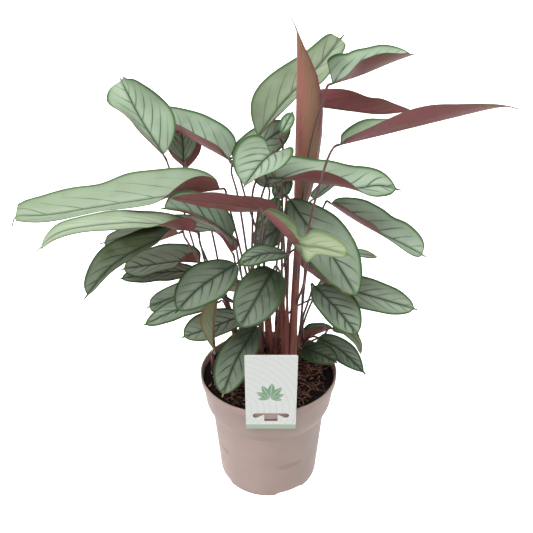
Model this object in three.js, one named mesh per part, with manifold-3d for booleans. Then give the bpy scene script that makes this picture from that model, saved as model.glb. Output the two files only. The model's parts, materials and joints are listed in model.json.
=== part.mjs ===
// A potted ctenanthe, a prayer plant with silver-green leaves that are burgundy underneath.
// It stands in a plastic nursery pot, full of soil, with a plain plant tag hooked over the rim.
// Millimetres, +Z up. The origin is the middle of the pot's foot, and -Y is the front.
import * as THREE from 'three';
import { mergeVertices } from 'three/addons/utils/BufferGeometryUtils.js';
import Module from 'manifold-3d';

const wasm = await Module();
wasm.setup();

// Driving sizes of the pot: a 17 cm nursery pot
const POT_HEIGHT = 153;
const RIM_RADIUS = 85;
const FOOT_RADIUS = 63.5;
const WALL = 1.6;
const RIM_WALL = 2;
const FLOOR_TOP = 7;
const FLOOR_UNDERSIDE = 5;
const FOOT_RING_WIDTH = 4;
const PAD_RADIUS = 20;
const POT_SIDES = 40;
const SHOULDER_LOW = [71.2, 99];
const SHOULDER_HIGH = [79, 112];
const BEAD_LOW = [82.6, 143];
const NOTCH_COUNT = 4;
const NOTCH_FROM_FRONT = 25;
const NOTCH_WIDTH = 40;
const NOTCH_HEIGHT = 4.5;
const DRAIN_RADIUS = 4;
const DRAIN_CIRCLE = 50;

// Soil, a few millimetres below the rim
const SOIL_TOP = 145;
const SOIL_ROUGHNESS = 1.6;
const SOIL_RINGS = [16, 34, 52, 68];
const SOIL_SIDES = 24;
const GAP = 0.35;

// Plant tag: a card with a tongue punched out of it, which hooks over the rim
const TAG_WIDTH = 57;
const TAG_HEIGHT = 109;
const TAG_THICK = 0.8;
const TAG_BELOW_RIM = 23.5;
const TAG_X = 2.5;
const TAG_LEAN = 5;
const TONGUE_WIDTH = 15;
const TONGUE_LENGTH = 13;
const WING_REACH = 20.5;
const WING_HEIGHT = 6.7;
const TONGUE_DROP = 6;
const TAG_PLAY = 3.4;

// Leaves
const BLADE_THICK = 0.8;
const STALK_HALF_WIDTH = 1.3;
const TIP_HALF_WIDTH = 0.5;
const BLADE_END = 0.95;
const FOLD_AT_RIB = 0.6;
const LOBE_FADE = 0.12;
const WAIST_SPREAD = 0.1;
const HORN_SPREAD = 0.06;
const ACROSS = [-1, -0.5, 0, 0.5, 1];
const LONG_STATIONS = [0, 0.03, 0.1, 0.22, 0.36, 0.52, 0.68, 0.82, 0.93, 1];
const SHORT_STATIONS = [0, 0.05, 0.2, 0.42, 0.65, 0.88, 1];
const SHORT_LEAF = 80;
const FOLD_KNOT = 0.35;

// Petioles, the thin leaf stalks, and the sheaths that they rise from
const PETIOLE_RADIUS = 1.25;
const PETIOLE_SIDES = 5;
const PETIOLE_STEP = 21;
const PETIOLE_GAP = 0.7;
const PULVINUS = 5;
const SHEATH_SIDES = 8;
const SHEATH_START = SOIL_TOP + 3;
const STUB_DEPTH = 18;
const STUB_ABOVE = 8;
const STUB_SIDES = 12;

// Each shoot: where it leaves the soil, the radius of its foot, and its sheaths.
// A sheath is its foot, its top, its radius and the radius that it narrows to.
const SHOOTS = {
  center: { foot: [29, 10], radius: 9.5, sheaths: [
    [[28, 9], [34, 5, 351], 4.8, 4],
    [[30, 3], [32, 0, 284], 4.6, 1.2],
    [[20, 14], [16, 16, 272], 3.8, 1.4],
    [[22, 4], [22, -1, 253], 4, 1.2] ] },
  left: { foot: [-15, 18], radius: 8, sheaths: [
    [[-17, 18], [-20, 15, 262], 5, 1.6],
    [[-11, 20], [-8, 20, 235], 4.2, 1.6],
    [[-16, 13], [-24, 8, 212], 3.4, 1] ] },
  back_left: { foot: [-36, 44], radius: 6.5, sheaths: [
    [[-37, 44], [-59, 60, 240], 4.4, 1.8],
    [[-32, 45], [-36, 42, 225], 4, 1.6] ] },
  rim: { foot: [-70, 8], radius: 3.6, sheaths: [
    [[-70, 8], [-70, -1, 178], 2.6, 1.5] ] },
  front: { foot: [5, 24], radius: 6, sheaths: [
    [[3, 25], [0, 16, 236], 3.8, 1.5],
    [[8, 22], [10, 14, 215], 3.2, 1.2] ] },
  right: { foot: [38, 28], radius: 5, sheaths: [
    [[36, 27], [40, 24, 200], 2.6, 1.2],
    [[41, 29], [45, 27, 180], 2.4, 1.2] ] },
  back: { foot: [5, 58], radius: 7.5, sheaths: [
    [[2, 58], [-6, 66, 250], 4.8, 1.6],
    [[9, 58], [22, 68, 240], 4.4, 1.6] ] },
};

// Each leaf: name, shoot, full width, the way its upper side looks at the base and at the tip,
// how far the left and right halves fold up (at the base, a third along, and at the tip, degrees),
// outline (where it is widest, bluntness at base and tip, lobes at the base, and on a few leaves also
// the place and depth of a waist, the place and reach of a horn on the right edge, and from where to
// where the right half turns over and how much of its width is left), and the midrib.
const LEAVES = [
  ["leaf_left_01", "left", 85, [0, -.3, .95], [0, -.17, .98], [108, 34, 25], [40, 20, 10],
    [.9, .5, .2, 8, .55, .18], [[-54, 10, 386], [-112, 0, 381], [-170, -15, 377], [-228, -35, 374],
      [-259, -42, 375], [-265, -46, 366]]],
  ["leaf_left_02", "back_left", 44, [0, -.3, .95], [0, -.2, 1], [120, 28, 20], [15, 2, -2],
    [.8, .3, .25, 5], [[-79, -41, 358], [-120, -56, 373], [-157, -71, 379], [-201, -86, 377],
      [-227, -90, 358]]],
  ["leaf_left_03", "back_left", 50, [-.1, -.3, .95], [-.2, -.4, .9], [92, 40, 45], [40, 10, 10],
    [1, .6, .45, 5], [[-91, -69, 368], [-124, -95, 364], [-149, -120, 355], [-170, -141, 334]]],
  ["leaf_left_04", "left", 47, [0, -.1, 1], [0, -.1, 1], [90, 20, 10], [20, 10, 10],
    [.95, .35, .2, 5], [[-44, 23, 304], [-61, 18, 331], [-100, 13, 341], [-135, 10, 337], [-194, 4, 322]]],
  ["leaf_left_05", "left", 54, [.4, -.6, .7], [0, -.6, .8], [40, 66, 70], [10, 10, 20],
    [.95, .35, .45, 5], [[-41, -11, 337], [-60, -22, 359], [-84, -35, 377], [-109, -52, 388]]],
  ["leaf_left_06", "back_left", 56, [0, -.3, .95], [0, -.3, .95], [118, 38, 5], [40, 15, 10],
    [.95, .35, .45, 5], [[-81, 20, 291], [-106, 20, 292], [-138, 15, 290], [-173, 8, 288]]],
  ["leaf_left_07", "front", 52, [-.2, -.5, .8], [-.3, -.8, .5], [10, 5, 5], [10, 5, 5],
    [.95, .6, .6, 3], [[-36, -30, 314], [-66, -55, 305], [-82, -70, 297], [-97, -85, 285]]],
  ["leaf_left_08", "back_left", 41, [0, -.3, .95], [0, -.5, .87], [10, 10, 10], [10, 10, 10],
    [.9, .35, .3, 3], [[-68, 64, 236], [-116, 74, 216], [-162, 73, 197]]],
  ["leaf_left_09", "back_left", 32, [0, -.3, .95], [0, -.5, .87], [10, 10, 10], [10, 10, 10],
    [.9, .35, .5, 3], [[-67, 30, 230], [-111, 30, 221], [-158, 25, 200]]],
  ["leaf_left_10", "back_left", 49, [0, -.4, .9], [0, -.5, .87], [20, 35, 25], [15, 10, 10],
    [.95, .35, .45, 5], [[-37, 40, 204], [-62, 20, 204], [-81, 5, 205], [-105, -10, 205]]],
  ["leaf_left_11", "back_left", 35, [0, -.2, 1], [0, -.2, 1], [10, 5, 5], [10, 10, 10],
    [.95, .35, .45, 5], [[-88, 14, 282], [-128, 11, 282], [-173, -5, 282]]],
  ["leaf_low_01", "rim", 36, [-.5, -.85, .1], [-.5, -.85, .1], [5, 10, 15], [65, 75, 75],
    [1, .8, .7, 2], [[-64, -20, 193], [-63, -26, 236], [-56, -26, 279]]],
  ["leaf_front_01", "front", 49, [-.1, -.8, .6], [-.2, -.9, .4], [5, 5, 5], [10, 5, 5],
    [.95, .4, .62, 3], [[5, -50, 318], [-11, -80, 303], [-31, -105, 277]]],
  ["leaf_front_02", "front", 48, [-.3, -.6, .7], [-.3, -.8, .5], [50, 26, 6], [5, 5, 5],
    [.95, .35, .45, 5], [[-15, -10, 220], [-25, -25, 210], [-39, -50, 197], [-52, -85, 176]]],
  ["leaf_front_03", "front", 28, [0, -.3, .95], [0, -.4, .9], [15, 5, 5], [15, 10, 5],
    [.95, .35, .45, 5], [[17, -20, 322], [-7, -40, 331], [-33, -55, 325]]],
  ["leaf_front_04", "left", 58, [0, -.85, .5], [0, -.9, .4], [68, 56, 95], [5, 5, 5],
    [.6, .45, .5, 23, 0, 0, 0, 0, .25, .9, 1.15], [[2, -45, 442], [-8, -60, 437], [-24, -75, 419]]],
  ["leaf_front_05", "left", 43, [0, .75, .65], [0, .6, .8], [20, 10, 10], [20, 10, 10],
    [.95, .35, .45, 5], [[5, -50, 384], [-42, -75, 401], [-96, -90, 414]]],
  ["leaf_front_06", "front", 36, [0, -.3, .95], [0, -.6, .8], [80, 68, 10], [100, 95, -20],
    [.9, .45, .3, 5, .46, .5, .58, 1.2, .44, .58, .45], [[-5, -94, 401], [7, -99, 389],
      [20, -102, 376], [34, -105, 371], [48, -111, 372], [75, -124, 370]]],
  ["leaf_right_01", "center", 60, [.3, -.75, .6], [.4, -.8, .5], [85, 42, 8], [20, 10, 10],
    [.97, .7, .52, 5], [[22, -11, 382], [43, -36, 359], [64, -61, 341], [91, -93, 305]]],
  ["leaf_right_02", "right", 48, [.1, -.6, .8], [.2, -.8, .6], [10, 5, 5], [55, 38, 20],
    [1, .7, .55, 4], [[50, -40, 292], [72, -75, 283], [93, -100, 266]]],
  ["leaf_right_03", "right", 46, [.1, -.4, .9], [.2, -.5, .87], [10, 10, 10], [10, 10, 10],
    [.9, .35, .45, 5], [[71, 0, 272], [117, -20, 268], [168, -35, 259]]],
  ["leaf_right_04", "right", 64, [.2, -.2, 1], [.4, -.3, .9], [20, 32, 45], [58, 52, 15],
    [.85, .55, .35, 4, .58, .15], [[68, 0, 373], [93, -8, 358], [119, -15, 345], [142, -24, 337],
      [170, -35, 325]]],
  ["leaf_right_05", "left", 61, [0, -.1, 1], [.15, -.5, .85], [58, 22, 22], [15, 72, 0],
    [.8, .12, .55, 5], [[5, -35, 414], [30, -42, 414], [60, -45, 411], [87, -45, 407],
      [111, -43, 409], [134, -40, 403]]],
  ["leaf_right_06", "center", 50, [0, 0, 1], [0, -.2, 1], [95, 12, 28], [58, 86, 55],
    [.8, .45, 1.1, 5], [[71, -35, 449], [117, -15, 454], [188, 10, 464], [248, 35, 470], [273, 42, 466]]],
  ["leaf_right_07", "center", 62, [0, -.1, 1], [0, -.2, 1], [95, 39, 26], [30, 62, 42],
    [.9, .1, .5, 3], [[65, 11, 499], [92, 17, 506], [122, 22, 517], [149, 26, 526]]],
  ["leaf_right_08", "back", 44, [0, .25, .97], [0, .25, .97], [30, 30, 20], [105, 88, 62],
    [.7, .25, .8, 3, .5, .12], [[43, 27, 473], [58, 30, 471], [90, 38, 465], [124, 46, 460],
      [165, 60, 461]]],
  ["leaf_right_09", "right", 20, [0, -.2, 1], [0, -.2, 1], [10, 10, 10], [10, 10, 10],
    [.95, .35, .45, 2], [[88, 50, 288], [114, 60, 283], [138, 65, 276]]],
  ["leaf_low_02", "right", 30, [0, -.5, .87], [0, -.5, .87], [10, 5, 5], [10, 5, 5],
    [.95, .35, .45, 3], [[41, -10, 189], [61, -30, 195], [79, -50, 197]]],
  ["leaf_low_03", "right", 30, [0, -.5, .87], [.2, -.6, .8], [20, 10, 5], [20, 10, 5],
    [.95, .35, .8, 3], [[62, 5, 194], [86, -15, 191], [114, -45, 177]]],
  ["leaf_low_04", "right", 20, [.3, -.2, .9], [.7, -.3, .6], [10, 5, 5], [10, 5, 5],
    [.95, .35, .45, 3], [[81, 25, 195], [97, 22, 194], [111, 12, 184], [116, 5, 169]]],
  ["leaf_low_05", "right", 32, [-.1, .5, .87], [0, .3, .95], [80, 85, 40], [55, 60, 30],
    [.95, .35, .45, 3], [[41, 34, 169], [60, 38, 178], [85, 42, 186]]],
  ["leaf_top_01", "center", 65, [0, -.89, .45], [0, -.89, .45], [10, 8, 8], [100, 86, 30],
    [.62, 1.5, .25, 0, 0, 0, 0, 0, .35, .75, .78], [[-12, 36, 437], [16, 56, 470], [53, 77, 503],
      [84, 94, 537]]],
  ["leaf_top_02", "back_left", 74, [-.1, -.8, .5], [-.1, -.8, .5], [112, 100, 10], [20, 12, 75],
    [.72, .8, .3, 0, 0, 0, .9, -.3], [[-121, 57, 411], [-148, 77, 449], [-170, 103, 484],
      [-173, 105, 487]]],
  ["leaf_top_03", "left", 66, [0, -.85, .5], [0, -.85, .5], [120, 112, 95], [25, 12, 10],
    [.62, .3, .5, 3], [[-46, 60, 404], [-75, 84, 413], [-110, 112, 427], [-146, 135, 447]]],
  ["leaf_top_04", "back_left", 56, [0, -.8, .5], [0, -.6, .8], [45, 60, 50], [45, 60, 50],
    [1.3, .8, .2, 0], [[-106, 113, 385], [-106, 119, 401], [-108, 125, 421]]],
  ["leaf_top_05", "back", 40, [0, -.8, .5], [0, -.8, .5], [5, 5, 5], [5, 5, 5],
    [.95, .35, .45, 5], [[-42, 71, 403], [-12, 66, 419], [27, 71, 445]]],
  ["leaf_top_06", "center", 14, [0, -.8, .5], [0, -.8, .5], [5, 5, 5], [5, 5, 5],
    [.95, .35, .45, 0], [[13, -20, 457], [17, -15, 464], [24, -5, 474]]],
  ["leaf_mid_01", "back", 22, [0, -.8, .5], [0, -.8, .5], [5, 5, 5], [5, 5, 5],
    [.95, .35, .45, 2], [[24, 33, 391], [16, 38, 379], [6, 43, 363]]],
  ["leaf_mid_02", "front", 18, [0, -.8, .5], [0, -.8, .5], [5, 5, 5], [5, 5, 5],
    [.95, .35, .45, 2], [[11, 12, 374], [0, 2, 362], [-14, -8, 348]]],
  ["leaf_mid_03", "back", 37, [0, .8, .5], [0, .8, .5], [10, 10, 5], [10, 10, 5],
    [.95, .35, .45, 2], [[-28, 64, 238], [-48, 76, 227], [-67, 88, 217]]],
  ["leaf_back_01", "back", 58, [0, .3, .95], [0, .4, .9], [15, 10, 5], [15, 10, 5],
    [.95, .35, .45, 5], [[0, 88, 360], [-10, 120, 386], [-22, 158, 390], [-30, 188, 374]]],
  ["leaf_back_02", "back", 42, [0, .75, .65], [0, .75, .65], [15, 10, 5], [15, 10, 5],
    [.95, .35, .6, 2], [[37, 60, 286], [63, 66, 260], [100, 76, 226]]],
  ["leaf_back_03", "back", 34, [0, -.6, .8], [0, -.6, .8], [5, 5, 5], [10, 5, 5],
    [.95, .35, .45, 2], [[15, 42, 327], [-1, 36, 318], [-18, 28, 308]]],
  ["leaf_back_04", "back_left", 45, [0, .9, .3], [0, .9, .3], [10, 10, 5], [10, 10, 5],
    [1.3, .6, .4, 0], [[-106, 137, 369], [-107, 134, 394], [-108, 138, 426]]],
  ["leaf_back_05", "back", 42, [.2, .2, .95], [.2, .3, .95], [15, 10, 5], [15, 10, 5],
    [.95, .35, .45, 5], [[56, 86, 346], [86, 100, 366], [116, 112, 370], [140, 122, 358]]],
  ["leaf_back_06", "back", 47, [.2, .2, .95], [.2, .3, .95], [15, 10, 5], [15, 10, 5],
    [.95, .35, .45, 5], [[69, 90, 208], [96, 106, 222], [122, 122, 221], [143, 132, 209]]],
];

// Bends of the petioles that show, from the shoot up to the leaf
const BENDS = {
  leaf_top_05: [[-8, 75, 282], [-27, 73, 349], [-37, 71, 386]],
  leaf_back_05: [[27, 70, 284], [39, 78, 322]],
  leaf_right_08: [[24, 56, 304], [32, 50, 371], [36, 36, 445]],
  leaf_back_03: [[23, 58, 273], [24, 52, 306]],
  leaf_back_02: [[23, 62, 271], [28, 60, 286]],
  leaf_right_09: [[42, 28, 247], [50, 38, 280], [69, 46, 289]],
  leaf_front_05: [[-8, 0, 318], [-3, -26, 358], [4, -44, 381]],
  leaf_left_01: [[-28, 26, 279], [-40, 24, 338], [-46, 16, 370]],
  leaf_left_02: [[-61, 23, 252], [-71, 10, 297], [-75, -20, 334]],
  leaf_left_03: [[-68, 8, 260], [-80, -17, 316], [-88, -44, 353]],
  leaf_left_04: [[-36, 37, 244], [-40, 27, 286]],
  leaf_left_05: [[-26, 14, 250], [-33, 2, 290], [-36, -6, 320]],
  leaf_left_06: [[-62, 34, 262], [-71, 23, 286]],
  leaf_left_09: [[-58, 48, 222]],
  leaf_left_11: [[-70, 30, 258]],
  leaf_left_07: [[-22, -8, 242], [-31, -19, 297]],
  leaf_front_01: [[9, 12, 216], [13, -8, 270], [11, -40, 312]],
  leaf_front_02: [[-2, 12, 180], [-9, 0, 208]],
  leaf_front_06: [[-12, -4, 283], [-10, -19, 331], [-8, -50, 361], [-6, -76, 383]],
  leaf_front_04: [[-18, -8, 345], [-16, -22, 399], [-5, -32, 424]],
  leaf_low_04: [[43, 24, 170], [54, 24, 177], [71, 25, 187]],
  leaf_right_02: [[42, 14, 218], [46, -8, 253], [48, -30, 282]],
  leaf_right_03: [[43, 22, 203], [53, 16, 241], [62, 8, 263]],
  leaf_right_04: [[46, 14, 297], [56, 14, 350], [61, 8, 367]],
  leaf_right_05: [[-13, -18, 359], [-8, -30, 391], [-3, -35, 408]],
  leaf_right_06: [[38, -12, 272], [37, -68, 324], [36, -84, 365], [42, -87, 404], [49, -82, 431],
    [57, -62, 446]],
  leaf_right_07: [[34, -8, 355], [37, -10, 392], [41, -12, 433], [48, -12, 467], [54, -8, 484]],
  leaf_top_01: [[12, 29, 364], [-4, 29, 418]],
  leaf_top_02: [[-87, 95, 243], [-100, 93, 294], [-108, 80, 347], [-117, 62, 397]],
  leaf_top_03: [[-32, 24, 354], [-37, 38, 375], [-43, 52, 392]],
  leaf_top_04: [[-73, 50, 257], [-86, 62, 306], [-97, 90, 340], [-103, 108, 373]],
  leaf_top_06: [[15, -2, 365], [14, -12, 405], [14, -17, 443]],
  leaf_mid_01: [[28, 40, 335], [32, 38, 383], [31, 33, 398]],
  leaf_mid_02: [[10, 16, 300], [19, 16, 364], [19, 17, 376]],
};

// The young leaf at the top, still rolled: height, left and right edge, and centre in depth
const ROLLED = [
  [352, 30, 38], [366, 28.5, 41.5], [383, 27, 47.5], [404, 27, 52.5], [427, 27, 55.5], [449, 27, 57.5],
  [473, 27, 57.5], [492, 27, 54.5], [508, 27, 50],
  [522, 27, 43], [537, 27, 34.5], [549, 26.6, 28.4], [556, 24, 25.4], [562, 20.6, 21.6],
];
const ROLLED_DEPTH = 0.7;
const ROLLED_Y = 5;
const ROLLED_SIDES = 10;

// Materials: colour, roughness and metalness
const paint = (color, roughness) => new THREE.MeshStandardMaterial({ color, roughness, metalness: 0 });
const POT_PLASTIC = paint(0xb29b91, 0.5);
const SOIL = paint(0x2a1f1a, 0.95);
const CARD = paint(0xf2f2f0, 0.4);
const LEAF_GREEN = paint(0x8fae90, 0.45);
const YOUNG_LEAF = paint(0x87584b, 0.45);
const STEM_RED = paint(0x7a3a36, 0.5);

const degrees = (angle) => angle * Math.PI / 180;
const vector = (point) => new THREE.Vector3(...point);

// The same row of random numbers on every run
function seededRandom(seed) {
  let state = seed;
  return () => {
    state = (state * 1664525 + 1013904223) % 4294967296;
    return state / 4294967296;
  };
}

function closedMesh(points, faces) {
  const geometry = new THREE.BufferGeometry();
  geometry.setAttribute('position', new THREE.Float32BufferAttribute(points.flat(), 3));
  geometry.setIndex(faces.flat());
  return geometry;
}

// Booleans
function toSolid(geometry) {
  const bare = geometry.clone();
  bare.deleteAttribute('normal');
  bare.deleteAttribute('uv');
  const merged = mergeVertices(bare, 1e-4);
  return new wasm.Manifold(new wasm.Mesh({
    numProp: 3,
    vertProperties: new Float32Array(merged.attributes.position.array),
    triVerts: new Uint32Array(merged.index.array),
  }));
}

function toGeometry(solid) {
  const mesh = solid.getMesh();
  const geometry = new THREE.BufferGeometry();
  geometry.setAttribute('position', new THREE.BufferAttribute(mesh.vertProperties, 3));
  geometry.setIndex(new THREE.BufferAttribute(mesh.triVerts, 1));
  return geometry;
}

const joinAll = (geometries) => geometries.map(toSolid).reduce((whole, next) => whole.add(next));
const cutAll = (solid, cutters) => cutters.reduce((rest, cutter) => rest.subtract(toSolid(cutter)), solid);

// A lathe about Z from points of radius and height
function turned(profile, sides) {
  const geometry = new THREE.LatheGeometry(profile.map(([r, z]) => new THREE.Vector2(r, z)), sides);
  return geometry.rotateX(Math.PI / 2);
}

function upright(radius, low, high, sides, x = 0, y = 0) {
  const geometry = new THREE.CylinderGeometry(radius, radius, high - low, sides);
  return geometry.rotateX(Math.PI / 2).translate(x, y, (low + high) / 2);
}

// The pot's outside and inside, as radius and height from the foot up
const POT_OUTSIDE = [[FOOT_RADIUS, 0], SHOULDER_LOW, SHOULDER_HIGH, BEAD_LOW,
  [RIM_RADIUS - 0.4, BEAD_LOW[1] + 0.6], [RIM_RADIUS, POT_HEIGHT - 1], [RIM_RADIUS - 0.5, POT_HEIGHT]];

const FLOOR_RADIUS = FOOT_RADIUS - WALL + (SHOULDER_LOW[0] - FOOT_RADIUS) * FLOOR_TOP / SHOULDER_LOW[1];
const POT_INSIDE = [[FLOOR_RADIUS, FLOOR_TOP], [SHOULDER_LOW[0] - WALL, SHOULDER_LOW[1]],
  [SHOULDER_HIGH[0] - WALL, SHOULDER_HIGH[1]], [RIM_RADIUS - RIM_WALL, POT_HEIGHT]];

// Radius of a profile at a height
function radiusAt(profile, height) {
  const i = Math.max(1, profile.findIndex(([, z]) => z >= height));
  const [r0, z0] = profile[i - 1];
  const [r1, z1] = profile[i];
  return r0 + (r1 - r0) * (height - z0) / (z1 - z0);
}

function makePot() {
  const ring = FOOT_RADIUS - FOOT_RING_WIDTH;
  const profile = [[0, 0], [PAD_RADIUS, 0], [PAD_RADIUS + 2, FLOOR_UNDERSIDE], [ring, FLOOR_UNDERSIDE],
    [ring, 0], ...POT_OUTSIDE, ...POT_INSIDE.toReversed(), [0, FLOOR_TOP]];
  const cutters = [];
  for (let i = 0; i < NOTCH_COUNT; i++) {
    const angle = degrees(NOTCH_FROM_FRONT - 90 + i * 360 / NOTCH_COUNT);
    const half = NOTCH_WIDTH / 2;
    const outline = [[-half, -1], [half, -1], [half - 3, NOTCH_HEIGHT - 1], [half - 8, NOTCH_HEIGHT],
      [8 - half, NOTCH_HEIGHT], [3 - half, NOTCH_HEIGHT - 1]];
    const arch = new THREE.Shape(outline.map(([x, y]) => new THREE.Vector2(x, y)));
    const notch = new THREE.ExtrudeGeometry(arch, { depth: 20, bevelEnabled: false });
    cutters.push(notch.rotateX(Math.PI / 2).rotateZ(angle + Math.PI / 2)
      .translate(Math.cos(angle) * 54, Math.sin(angle) * 54, 0));
    cutters.push(upright(DRAIN_RADIUS, FLOOR_UNDERSIDE - 1, FLOOR_TOP + 1, 8,
      Math.cos(angle) * DRAIN_CIRCLE, Math.sin(angle) * DRAIN_CIRCLE));
  }
  return toGeometry(cutAll(toSolid(turned(profile, POT_SIDES)), cutters));
}

// Soil: a polar mesh with a rough top, and a hole for the foot of each shoot
function makeSoil() {
  const random = seededRandom(7);
  const low = FLOOR_TOP + GAP;
  const inset = Math.cos(Math.PI / POT_SIDES);
  const walls = [SOIL_TOP, SHOULDER_HIGH[1], SHOULDER_LOW[1], low]
    .map((z) => [radiusAt(POT_INSIDE, z) * inset - 2 * GAP, z, 0]);
  const rings = [...SOIL_RINGS.map((r) => [r, SOIL_TOP, SOIL_ROUGHNESS]), ...walls];
  const points = [[0, 0, SOIL_TOP]];
  for (const [r, z, rough] of rings) {
    for (let k = 0; k < SOIL_SIDES; k++) {
      const angle = 2 * Math.PI * k / SOIL_SIDES;
      points.push([r * Math.cos(angle), r * Math.sin(angle), z + rough * (2 * random() - 1)]);
    }
  }
  points.push([0, 0, low]);
  const last = points.length - 1;
  const at = (ring, k) => 1 + ring * SOIL_SIDES + (k % SOIL_SIDES);
  const faces = [];
  for (let k = 0; k < SOIL_SIDES; k++) {
    faces.push([0, at(0, k), at(0, k + 1)]);
    for (let ring = 0; ring < rings.length - 1; ring++) {
      faces.push([at(ring, k), at(ring + 1, k), at(ring + 1, k + 1)]);
      faces.push([at(ring, k), at(ring + 1, k + 1), at(ring, k + 1)]);
    }
    faces.push([at(rings.length - 1, k), last, at(rings.length - 1, k + 1)]);
  }
  const holes = Object.values(SHOOTS).map(({ foot, radius }) =>
    upright(radius + GAP, SOIL_TOP - STUB_DEPTH - GAP, SOIL_TOP + 10, STUB_SIDES, ...foot));
  return toGeometry(cutAll(toSolid(closedMesh(points, faces)), holes));
}

// The card stands in the XZ plane with the rim at height 0, and is then leaned and moved to the rim
function makeTag() {
  const half = TAG_WIDTH / 2;
  const corner = 2;
  const low = -TAG_BELOW_RIM;
  const high = TAG_HEIGHT - TAG_BELOW_RIM;
  const card = new THREE.Shape();
  card.moveTo(-half + corner, low);
  card.lineTo(half - corner, low);
  card.quadraticCurveTo(half, low, half, low + corner);
  card.lineTo(half, high - corner);
  card.quadraticCurveTo(half, high, half - corner, high);
  card.lineTo(-half + corner, high);
  card.quadraticCurveTo(-half, high, -half, high - corner);
  card.lineTo(-half, low + corner);
  card.quadraticCurveTo(-half, low, -half + corner, low);
  const stem = TONGUE_WIDTH / 2;
  const hole = new THREE.Path();
  hole.moveTo(-stem, -TONGUE_LENGTH);
  hole.lineTo(-stem, -1);
  hole.lineTo(-WING_REACH + 4, -WING_HEIGHT);
  hole.quadraticCurveTo(-WING_REACH, -WING_HEIGHT, -WING_REACH, -2.6);
  hole.quadraticCurveTo(-WING_REACH, 0.8, -WING_REACH + 4, 0.8);
  hole.lineTo(WING_REACH - 4, 0.8);
  hole.quadraticCurveTo(WING_REACH, 0.8, WING_REACH, -2.6);
  hole.quadraticCurveTo(WING_REACH, -WING_HEIGHT, WING_REACH - 4, -WING_HEIGHT);
  hole.lineTo(stem, -1);
  hole.lineTo(stem, -TONGUE_LENGTH);
  hole.closePath();
  card.holes.push(hole);
  const options = { depth: TAG_THICK, bevelEnabled: false, curveSegments: 3 };
  const sheet = new THREE.ExtrudeGeometry(card, options).rotateX(Math.PI / 2);
  const reach = RIM_WALL + TAG_PLAY;
  const over = new THREE.BoxGeometry(TONGUE_WIDTH, reach + TAG_THICK, TAG_THICK)
    .translate(0, (reach - TAG_THICK) / 2, 0.8 + TAG_THICK / 2 - 0.05);
  const down = new THREE.BoxGeometry(TONGUE_WIDTH, TAG_THICK, TONGUE_DROP)
    .translate(0, reach - TAG_THICK / 2, 0.8 + TAG_THICK - TONGUE_DROP / 2 - 0.05);
  const tag = toGeometry(joinAll([sheet, over, down]));
  return tag.rotateX(degrees(TAG_LEAN)).translate(TAG_X, -RIM_RADIUS - 0.75, POT_HEIGHT + 0.3);
}

const bell = (along, place, spread) => Math.exp(-(((along - place) / spread) ** 2));

// From 0 to 1, slow at both ends
function ease(value) {
  const share = Math.min(1, Math.max(0, value));
  return share * share * (3 - 2 * share);
}

// Half width of a blade at a fraction of its length
function halfWidth(along, width, outline) {
  const [widest, bluntBase, bluntTip, , waist = 0, waistDepth = 0] = outline;
  if (along >= BLADE_END) {
    const left = (along - BLADE_END) / (1 - BLADE_END);
    return STALK_HALF_WIDTH + (TIP_HALF_WIDTH - STALK_HALF_WIDTH) * left;
  }
  const share = along / BLADE_END;
  const bluntness = bluntBase + (bluntTip - bluntBase) * share;
  const round = Math.sin(Math.PI * Math.min(1, share ** widest)) ** bluntness;
  const pinched = 1 - waistDepth * bell(along, waist, WAIST_SPREAD);
  return Math.max(STALK_HALF_WIDTH, width / 2 * round * pinched);
}

// Sideways and upward share of a half that curls up from the rib to its edge
function curl(across, fold) {
  const start = fold * FOLD_AT_RIB;
  const rate = fold - start;
  if (Math.abs(rate) < 1e-4) return [across, 0];
  const end = start + rate * across;
  return [(Math.sin(end) - Math.sin(start)) / rate, (Math.cos(start) - Math.cos(end)) / rate];
}

// Fold of a half at a fraction of its length, eased from base to third and from third to tip
function foldAt(along, [base, third, tip], knot, end) {
  const early = along < knot;
  const eased = early ? ease(along / knot) : ease((along - knot) / (end - knot));
  return degrees(early ? base + (third - base) * eased : third + (tip - third) * eased);
}

// From where to where the right half turns over, on most leaves all the way to the tip
const turnOf = ([, , , , , , , , knot = FOLD_KNOT, end = 1]) => [knot, end];

// The right half can have a horn on its edge, and be narrower beyond the turn
function rightStretch(along, outline) {
  const [, , , , , , horn = 0, reach = 0, , , narrow = 1] = outline;
  const [knot, end] = turnOf(outline);
  const turned = ease((along - knot) / (end - knot));
  return (1 + reach * bell(along, horn, HORN_SPREAD)) * (1 - (1 - narrow) * turned);
}

const ribCurve = (rib) => new THREE.CatmullRomCurve3(rib.map(vector), false, 'catmullrom', 0.5);

function directionAt(curve, along) {
  const ahead = curve.getPointAt(Math.min(1, along + 0.02));
  return ahead.sub(curve.getPointAt(Math.max(0, along - 0.02))).normalize();
}

function bladePoint(curve, leaf, along, across) {
  const [, , width, faceBase, faceTip, foldLeft, foldRight, outline] = leaf;
  const tangent = directionAt(curve, along);
  const face = vector(faceBase).lerp(vector(faceTip), along);
  const up = face.addScaledVector(tangent, -face.dot(tangent)).normalize();
  const side = new THREE.Vector3().crossVectors(tangent, up);
  const right = across > 0;
  const half = halfWidth(along, width, outline) * (right ? rightStretch(along, outline) : 1);
  const [knot, end] = right ? turnOf(outline) : [FOLD_KNOT, 1];
  const [out, rise] = curl(Math.abs(across), foldAt(along, right ? foldRight : foldLeft, knot, end));
  const lobe = outline[3] * across * across * Math.exp(-along / LOBE_FADE) * half / (width / 2);
  return curve.getPointAt(along)
    .addScaledVector(side, Math.sign(across) * out * half)
    .addScaledVector(up, rise * half)
    .addScaledVector(tangent, -lobe);
}

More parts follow.
